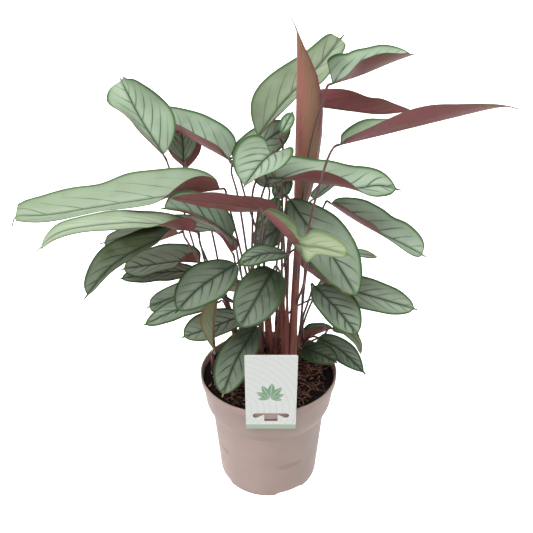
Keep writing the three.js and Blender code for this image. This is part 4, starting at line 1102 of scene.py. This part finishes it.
# %% [markdown]
# ## The nursery pot
# The pot is moulded in one piece: a thin wall, a band under the rim, a soft shoulder, a foot ring
# with arched notches and holes for water. A turned profile gives the form, and the notches and holes
# are cut from it. The edges that a mould leaves round are drawn as short curves in the profile.

# %% Profile of the pot
POT_HEIGHT = 153
RIM_RADIUS = 85
FOOT_RADIUS = 63.5
WALL = 1.6
RIM_WALL = 2
FLOOR_TOP = 7
FLOOR_UNDERSIDE = 5
FOOT_RING = 4
PAD_RADIUS = 20
SHOULDER_LOW = (71.2, 99)
SHOULDER_HIGH = (79, 112)
BEAD_LOW = (82.6, 143)
POT_SIDES = 160


def rounded(corner, before, after, size, steps):
    """Points of a short curve in the place of a corner of a profile."""
    corner, before, after = (np.array(p, float) for p in (corner, before, after))
    start = corner + (before - corner) / np.linalg.norm(before - corner) * size
    end = corner + (after - corner) / np.linalg.norm(after - corner) * size
    t = np.linspace(0, 1, steps)[:, None]
    return ((1 - t) ** 2 * start + 2 * t * (1 - t) * corner + t ** 2 * end).tolist()


def pot_profile():
    """Radius and height, from the middle of the foot, up the outside and down the inside."""
    ring = FOOT_RADIUS - FOOT_RING
    under = [(PAD_RADIUS, 0), (PAD_RADIUS + 2, FLOOR_UNDERSIDE), (ring, FLOOR_UNDERSIDE), (ring, 0)]
    lip = (RIM_RADIUS - 0.4, BEAD_LOW[1] + 0.6)
    rim_out, rim_in = (RIM_RADIUS, POT_HEIGHT), (RIM_RADIUS - RIM_WALL, POT_HEIGHT)
    low_in = (SHOULDER_LOW[0] - WALL, SHOULDER_LOW[1])
    high_in = (SHOULDER_HIGH[0] - WALL, SHOULDER_HIGH[1])
    floor_edge = (FOOT_RADIUS - WALL + 0.5, FLOOR_TOP)
    # Each corner has a place, how far its rounding reaches, and the points of that rounding
    corners = [((FOOT_RADIUS, 0), 1.2, 5), (SHOULDER_LOW, 2.5, 7), (SHOULDER_HIGH, 7, 9), (BEAD_LOW, 1.5, 5),
               (lip, 0.9, 5), (rim_out, 0.9, 5), (rim_in, 0.7, 5), (high_in, 6, 9), (low_in, 6, 9)]
    path = [under[-1], *(place for place, _, _ in corners), floor_edge]
    wall = []
    for (place, size, steps), before, after in zip(corners, path, path[2:]):
        wall += rounded(place, before, after, size, steps)
    return [*under, *wall, floor_edge]


print("points in the pot's profile:", len(pot_profile()))

# %% Turn the profile
def turned(profile, sides, bottom, top):
    """A closed body round the upright axis, with a middle point at both ends of its profile."""
    angle = 2 * np.pi * np.arange(sides) / sides
    rings = [(r * np.cos(a), r * np.sin(a), z) for r, z in profile for a in angle]
    return [*rings, (0, 0, bottom), (0, 0, top)], tube_faces(len(profile), sides)


pot_piece = Piece()
pot_piece.add(*turned(pot_profile(), POT_SIDES, 0, FLOOR_TOP))
print("points in the pot:", len(pot_piece.points))

# %% Cut the notches and the holes
NOTCHES = 4
NOTCH_FROM_FRONT = 25
NOTCH_WIDTH = 40
NOTCH_HEIGHT = 4.5
NOTCH_INSIDE = 54
NOTCH_DEPTH = 20
DRAIN_RADIUS = 4
DRAIN_CIRCLE = 50
DRAIN_FROM = 4
DRAIN_DEPTH = 5
ARCH_BELOW = 2


def cutter_object(name, points, faces):
    """A body that cuts the pot. It is never shown."""
    mesh = bpy.data.meshes.new(name)
    mesh.from_pydata([tuple(p) for p in np.array(points) * MM], [], faces)
    made = bpy.data.objects.new(name, mesh)
    cutters.objects.link(made)


def prism(outline, matrix, depth):
    """A flat outline pushed along its normal, then placed by a matrix of three directions and a spot."""
    points = [matrix @ np.array([x, y, z, 1]) for z in (0, depth) for x, y in outline]
    return [point[:3] for point in points], prism_faces(len(outline))


cutters = bpy.data.collections.new("pot_cutters")
arch_x = np.linspace(-1, 1, 17)
arch = [(x * NOTCH_WIDTH / 2, NOTCH_HEIGHT * (1 - x ** 6)) for x in arch_x]
arch = [(-NOTCH_WIDTH / 2, -ARCH_BELOW), *arch, (NOTCH_WIDTH / 2, -ARCH_BELOW)][::-1]
round_way = np.arange(24) / 24 * 2 * math.pi
circle = [(DRAIN_RADIUS * math.cos(a), DRAIN_RADIUS * math.sin(a)) for a in round_way]
for k in range(NOTCHES):
    turn = math.radians(NOTCH_FROM_FRONT - 90 + k * 360 / NOTCHES)
    c, s = math.cos(turn), math.sin(turn)
    outward = np.array([[-s, 0, c, NOTCH_INSIDE * c], [c, 0, s, NOTCH_INSIDE * s], [0, 1, 0, 0]])
    upward = np.array([[1, 0, 0, DRAIN_CIRCLE * c], [0, 1, 0, DRAIN_CIRCLE * s], [0, 0, 1, DRAIN_FROM]])
    cutter_object(f"notch_{k}", *prism(arch, outward, NOTCH_DEPTH))
    cutter_object(f"drain_{k}", *prism(circle, upward, DRAIN_DEPTH))

# %% [markdown]
# ## Finish of the pot
# The plastic is a warm grey-pink with a low sheen. Handling leaves it almost clean: a faint cloudy
# tone, one brown smear of soil low on the front and one grey scuff. The foot is a little darker.

# %% Pot finish
pot_skin = Finish("pot_plastic")
pot_cloud = pot_skin.grain(14, 3)
pot_fine = pot_skin.grain(900, 2)
side_way, depth_way, up_way = pot_skin.axis("X"), pot_skin.axis("Y"), pot_skin.axis("Z")


def spot(x, z, wide, high, cloud):
    """A soft blot on the front of the pot, broken up by a cloud."""
    dx, dz = (side_way - x) / wide, (up_way - z) / high
    near = (dx * dx + dz * dz + (cloud - 0.5) * 1.4).fall(0.3, 1.1)
    return near * depth_way.fall(-0.02, 0.0)


smear = spot(0.026, 0.05, 0.017, 0.006, pot_skin.grain(130, 4))
scuff = spot(-0.055, 0.056, 0.007, 0.004, pot_skin.grain(300, 3))
PLASTIC = srgb(180, 157, 149)
PLASTIC_CLOUD = srgb(172, 149, 141)
SMEAR_BROWN = srgb(158, 132, 112)
SCUFF_GREY = srgb(150, 138, 134)
FOOT_DARKER = srgb(120, 100, 90)
pot_color = pot_skin.mix(
    PLASTIC,
    (PLASTIC_CLOUD, pot_cloud.rise(0.3, 0.7)),
    (SMEAR_BROWN, smear * 0.55),
    (SCUFF_GREY, scuff * 0.7),
    # the lowest few millimetres of the foot are darker
    (FOOT_DARKER, up_way.fall(0.0, 0.006) * 0.3))
pot_skin.set(base_color=pot_color, roughness=0.46 + 0.12 * pot_cloud, specular_ior_level=0.4)
pot_skin.bump(pot_fine * 0.5 + pot_cloud * 0.3, 0.00015, 0.5)
print("finish:", pot_skin.material.name)

# %% Make the pot
POT_SHARP = 32
pot = pot_piece.make("nursery_pot", pot_skin, ["pot"], sharp=POT_SHARP)
cut = pot.modifiers.new("notches", "BOOLEAN")
cut.operand_type = "COLLECTION"
cut.collection = cutters
cut.solver = "EXACT"
bpy.context.view_layer.update()
cut_mesh = bpy.data.meshes.new_from_object(pot.evaluated_get(bpy.context.evaluated_depsgraph_get()))
pot.modifiers.remove(cut)
pot.data = cut_mesh
cut_mesh.set_sharp_from_angle(angle=math.radians(POT_SHARP))
for cutter in list(cutters.objects):
    bpy.data.objects.remove(cutter)
print("faces in the pot:", len(pot.data.polygons))

# %% [markdown]
# ## Soil
# Potting mix is near black when moist, with lighter bark and coir fibres on top. A rough closed
# lump fills the pot, and chips and fibres are scattered over it, each half sunk in.

# %% Soil surface
SOIL_SIDES = 96
SOIL_RINGS = 34
SOIL_PLAY = 0.9
SOIL_FOOT = FLOOR_TOP + 0.5
LUMP_WIDE = 9
LUMP_HIGH = 1.9
LUMP_SLICE = 0.3


def soil_edge(z):
    """Radius of the pot's inside at a height, less a small play."""
    heights = [FLOOR_TOP, SHOULDER_LOW[1], SHOULDER_HIGH[1], POT_HEIGHT]
    radii = [FOOT_RADIUS - 1, SHOULDER_LOW[0] - WALL, SHOULDER_HIGH[0] - WALL, RIM_RADIUS - RIM_WALL]
    return float(np.interp(z, heights, radii)) - SOIL_PLAY


def soil_height(x, y):
    """Height of the soil: lumps a few millimetres high."""
    lumps = noise.fractal(Vector((x / LUMP_WIDE, y / LUMP_WIDE, LUMP_SLICE)), 0.8, 2.1, 4)
    return SOIL_TOP + 0.2 + LUMP_HIGH * lumps


def make_soil(finish):
    """A lump with a rough top: rings outwards over the top, then down inside the wall."""
    top = soil_edge(SOIL_TOP)
    profile = [(top * (k + 1) / SOIL_RINGS, None) for k in range(SOIL_RINGS)]
    profile += [(soil_edge(z), z) for z in (SHOULDER_HIGH[1], SHOULDER_LOW[1], SOIL_FOOT)]
    points = []
    for r, z in profile:
        for a in 2 * np.pi * np.arange(SOIL_SIDES) / SOIL_SIDES:
            x, y = r * math.cos(a), r * math.sin(a)
            points.append((x, y, soil_height(x, y) if z is None else z))
    points += [(0, 0, soil_height(0, 0)), (0, 0, SOIL_FOOT)]
    piece = Piece()
    piece.add(points, [face[::-1] for face in tube_faces(len(profile), SOIL_SIDES)], hue=0.0)
    return piece.make("soil_lump", finish, ["soil"], sharp=60)


print("soil radius:", round(soil_edge(SOIL_TOP), 1), "mm")

# %% Soil finish
soil_skin = Finish("potting_mix")
[hue] = soil_skin.attributes("hue")
crumbs = soil_skin.grain(420, 5)
WET_BLACK = srgb(7, 5, 5)
WET_BROWN = srgb(30, 21, 18)
BARK_TAN = srgb(186, 136, 112)
soil_color = soil_skin.mix(
    WET_BLACK,
    (WET_BROWN, crumbs.rise(0.45, 0.75)),
    (BARK_TAN, hue * (0.3 + 0.7 * crumbs.rise(0.3, 0.6))))
soil_skin.set(base_color=soil_color, roughness=0.92, specular_ior_level=0.2)
soil_skin.bump(crumbs, 0.0012, 0.9)
soil = make_soil(soil_skin)
print("faces in the soil:", len(soil.data.polygons))

# %% Chips of bark and fibres
CHIPS = 420
FIBRES = 620
CHIP_CORNERS = np.array([(x, y, z) for z in (-1, 1) for x, y in CORNERS], float)


def on_soil(rng, margin):
    """A random spot on the soil, clear of the pot's wall."""
    r = math.sqrt(rng.uniform(0, 1)) * (soil_edge(SOIL_TOP) - margin)
    a = rng.uniform(0, 2 * math.pi)
    return r * math.cos(a), r * math.sin(a)


def add_chip(piece, rng):
    """A chip of bark: a small box of uneven corners, turned, leaned and half sunk in."""
    size = rng.uniform(0.5, 1, 3) * [rng.uniform(1.2, 4.2), 1.3, 0.7]
    x, y = on_soil(rng, 5)
    turn, lean = rng.uniform(0, 2 * math.pi), rng.uniform(-0.35, 0.35)
    c, s = math.cos(turn), math.sin(turn)
    corners = CHIP_CORNERS * size * rng.uniform(0.6, 1.0, (8, 1))
    corners[:, 2] += corners[:, 0] * lean
    spots = corners @ np.array([[c, s, 0], [-s, c, 0], [0, 0, 1]]) + [x, y, soil_height(x, y) + 0.5]
    piece.add(spots, prism_faces(4), hue=rng.uniform(0, 1) ** 5)


def add_fibre(piece, rng):
    """A curved thread of coir that lies on the lumps."""
    x, y = on_soil(rng, 13)
    turn, bend, reach = rng.uniform(0, 2 * math.pi), rng.uniform(-1.4, 1.4), rng.uniform(4, 14)
    t = np.linspace(-1, 1, 5)
    way = turn + bend * t / 2
    spots = np.stack([x + reach * t * np.cos(way), y + reach * t * np.sin(way)], 1)
    heights = [soil_height(*spot) + rng.uniform(0.1, 1.3) for spot in spots]
    curve = Curve(np.column_stack([spots, heights]), steps=4)
    points, faces, _, _ = tube(curve, np.linspace(0, 1, 8), np.full(8, rng.uniform(0.2, 0.45)), 4)
    piece.add(points, faces, hue=rng.uniform(0, 1) ** 1.5)


rng = np.random.default_rng(11)
litter = Piece()
for _ in range(CHIPS):
    add_chip(litter, rng)
for _ in range(FIBRES):
    add_fibre(litter, rng)
soil_litter = litter.make("soil_chips_and_fibres", soil_skin, [], sharp=30)
print("chips and fibres:", CHIPS + FIBRES, "faces:", len(soil_litter.data.polygons))

# %% [markdown]
# ## Plant tag
# A white plastic card hangs on the rim by a tongue that is punched out of it. Its print is generic:
# faint curved lines, a small spray of leaves and a sage-green band. The card is a flat outline with a
# hole, filled as a curve object and given its thickness, and then leaned and moved to the rim.
# Its sizes run from the middle of the rim: x across, y towards the plant and z up.

# %% Outline of the card
TAG_WIDTH = 57
TAG_HEIGHT = 109
TAG_THICK = 0.8
TAG_BELOW_RIM = 23.5
TAG_X = 2.5
TAG_Y = -RIM_RADIUS - 0.75
TAG_Z = POT_HEIGHT + 0.3
TAG_LEAN = math.radians(5)
TONGUE_WIDTH = 15
TONGUE_LENGTH = 13
TONGUE_TOP = 1.5
TONGUE_DROP = 6
TONGUE_PLAY = 3.4
WING_REACH = 20.5
WING_HEIGHT = 6.7
CARD_CORNER = 2


def arc(x, y, radius, start, end, steps=6):
    """Points round a middle, from one angle to another."""
    return [(x + radius * math.cos(math.radians(a)), y + radius * math.sin(math.radians(a)))
            for a in np.linspace(start, end, steps)]


card_side = TAG_WIDTH / 2 - CARD_CORNER
card_low, card_high = CARD_CORNER - TAG_BELOW_RIM, TAG_HEIGHT - TAG_BELOW_RIM - CARD_CORNER
card_edge = []
for way, z, start in ((1, card_low, -90), (1, card_high, 0), (-1, card_high, 90), (-1, card_low, 180)):
    card_edge += arc(way * card_side, z, CARD_CORNER, start, start + 90)
tongue_side = TONGUE_WIDTH / 2
right_wing = [(tongue_side, -TONGUE_LENGTH + 1), (tongue_side, -1.5), (WING_REACH - 5, -WING_HEIGHT)]
right_wing += arc(WING_REACH - 3.7, -3.1, 3.9, -80, 90, 9)
hole_edge = right_wing + [(-x, y) for x, y in right_wing[::-1]]
print("points in the card's outline:", len(card_edge), "and in its hole:", len(hole_edge))

# %% Fill the outline
def filled(loops):
    """Triangles that fill an outline with holes, from a flat curve object."""
    flat = bpy.data.curves.new("card_outline", "CURVE")
    flat.dimensions = "2D"
    flat.fill_mode = "BOTH"
    for loop in loops:
        spline = flat.splines.new("POLY")
        spline.points.add(len(loop) - 1)
        spline.use_cyclic_u = True
        for point, (x, y) in zip(spline.points, loop):
            point.co = (x, y, 0, 1)
    holder = bpy.data.objects.new("card_outline", flat)
    bpy.context.scene.collection.objects.link(holder)
    mesh = bpy.data.meshes.new_from_object(holder.evaluated_get(bpy.context.evaluated_depsgraph_get()))
    bpy.data.objects.remove(holder)
    return [tuple(v.co[:2]) for v in mesh.vertices], [tuple(p.vertices) for p in mesh.polygons]


print("triangles in the card's face:", len(filled([card_edge, hole_edge])[1]))

# %% Card
def lean_to_rim(points):
    """From the card's own plane, x across, y towards the plant and z up, to its place on the rim."""
    p = np.array(points, float)
    c, s = math.cos(TAG_LEAN), math.sin(TAG_LEAN)
    x, y, z = p.T
    return np.stack([x + TAG_X, y * c - z * s + TAG_Y, y * s + z * c + TAG_Z], 1)


def turns_left(loop):
    """Whether an outline runs against the clock."""
    return sum(a[0] * b[1] - b[0] * a[1] for a, b in zip(loop, [*loop[1:], loop[0]])) > 0


def add_plate(piece, loops, thick, place):
    """A flat plate: both faces from the filled outline, and walls along each edge."""
    flat, triangles = filled(loops)
    face_up = turns_left([flat[corner] for corner in triangles[0]])
    for y, flip in ((0.0, face_up), (-thick, not face_up)):
        piece.add(place([(x, y, z) for x, z in flat]), [t[::-1] if flip else t for t in triangles])
    for loop in loops:
        ring = loop if turns_left(loop) else loop[::-1]
        spots = [(x, y, z) for y in (0.0, -thick) for x, z in ring]
        sides = wall_faces(len(loop))
        piece.add(place(spots), sides if loop is loops[0] else [side[::-1] for side in sides])


tag_piece = Piece()
add_plate(tag_piece, [card_edge, hole_edge], TAG_THICK, lean_to_rim)
print("points in the card:", len(tag_piece.points))

# %% Tongue over the rim
def tongue():
    """The tongue runs from the card's hole back over the rim and down inside the pot."""
    reach = RIM_WALL + TONGUE_PLAY
    end = TONGUE_TOP - TONGUE_DROP
    outline = [(-TAG_THICK, TONGUE_TOP - 0.75), (-TAG_THICK, TONGUE_TOP - 0.6), (-0.4, TONGUE_TOP),
               (reach - 1.2, TONGUE_TOP), (reach - 0.4, TONGUE_TOP - 0.4), (reach, 0.2), (reach, end),
               (reach - TAG_THICK, end), (reach - TAG_THICK, 0.0), (reach - 1.6, TONGUE_TOP - 0.75)]
    points = [(x, y, z) for x in (-TONGUE_WIDTH / 2, TONGUE_WIDTH / 2) for y, z in outline]
    return lean_to_rim(points), [face[::-1] for face in prism_faces(len(outline))]


tag_piece.add(*tongue())
print("points with the tongue:", len(tag_piece.points))

# %% Print on the card
card_skin = Finish("printed_card")
card_x = card_skin.axis("X") * PER_METRE - TAG_X
card_z = (card_skin.axis("Z") * PER_METRE - TAG_Z) / math.cos(TAG_LEAN)
front = (card_skin.axis("Y") * PER_METRE - TAG_Y + card_z * math.sin(TAG_LEAN)).fall(-0.75, -0.6)
SPRAY_X = -1
SPRAY_Z = 24
SLIMNESS = 0.36
RINGS_X = -46
RINGS_Z = 6
RING_GAP = 7
BAND_TOP = -16.8


def printed_leaf(x, z, length, width, angle):
    """A leaf shape on the card: a lens that starts at a spot and points along an angle."""
    c, s = math.cos(math.radians(angle)), math.sin(math.radians(angle))
    run = ((card_x - x) * c + (card_z - z) * s) / length
    away = abs((card_x - x) * -s + (card_z - z) * c) / (width / 2)
    inside = run * (1 - run) * 4 - away
    return inside.rise(0.0, 0.12) * away.rise(0.02, 0.1)


spray = None
for angle, length in ((20, 17), (52, 21), (84, 23), (116, 21), (150, 18), (186, 14), (-12, 14)):
    shape = printed_leaf(SPRAY_X, SPRAY_Z, length, length * SLIMNESS, angle)
    spray = shape if spray is None else spray.most(shape)
ring_x, ring_z = card_x - RINGS_X, card_z - RINGS_Z
rings = abs(((ring_x * ring_x + ring_z * ring_z).root() / RING_GAP).fract() - 0.5).fall(0.02, 0.07)
band = card_z.fall(BAND_TOP - 0.1, BAND_TOP + 0.1)
CARD_WHITE = srgb(232, 234, 231)
RING_GREY = srgb(200, 213, 196)
SPRAY_GREEN = srgb(116, 156, 118)
SAGE = srgb(168, 188, 164)
card_color = card_skin.mix(
    CARD_WHITE,
    (RING_GREY, rings * 0.7 * front),
    (SPRAY_GREEN, spray * front),
    (SAGE, band * front))
card_skin.set(base_color=card_color, roughness=0.32, specular_ior_level=0.5)
card_skin.bump(card_skin.grain(300, 2), 0.0001, 0.3)
tag = tag_piece.make("plant_tag_card", card_skin, ["plant_tag"], sharp=30)
print("faces in the tag:", len(tag.data.polygons))
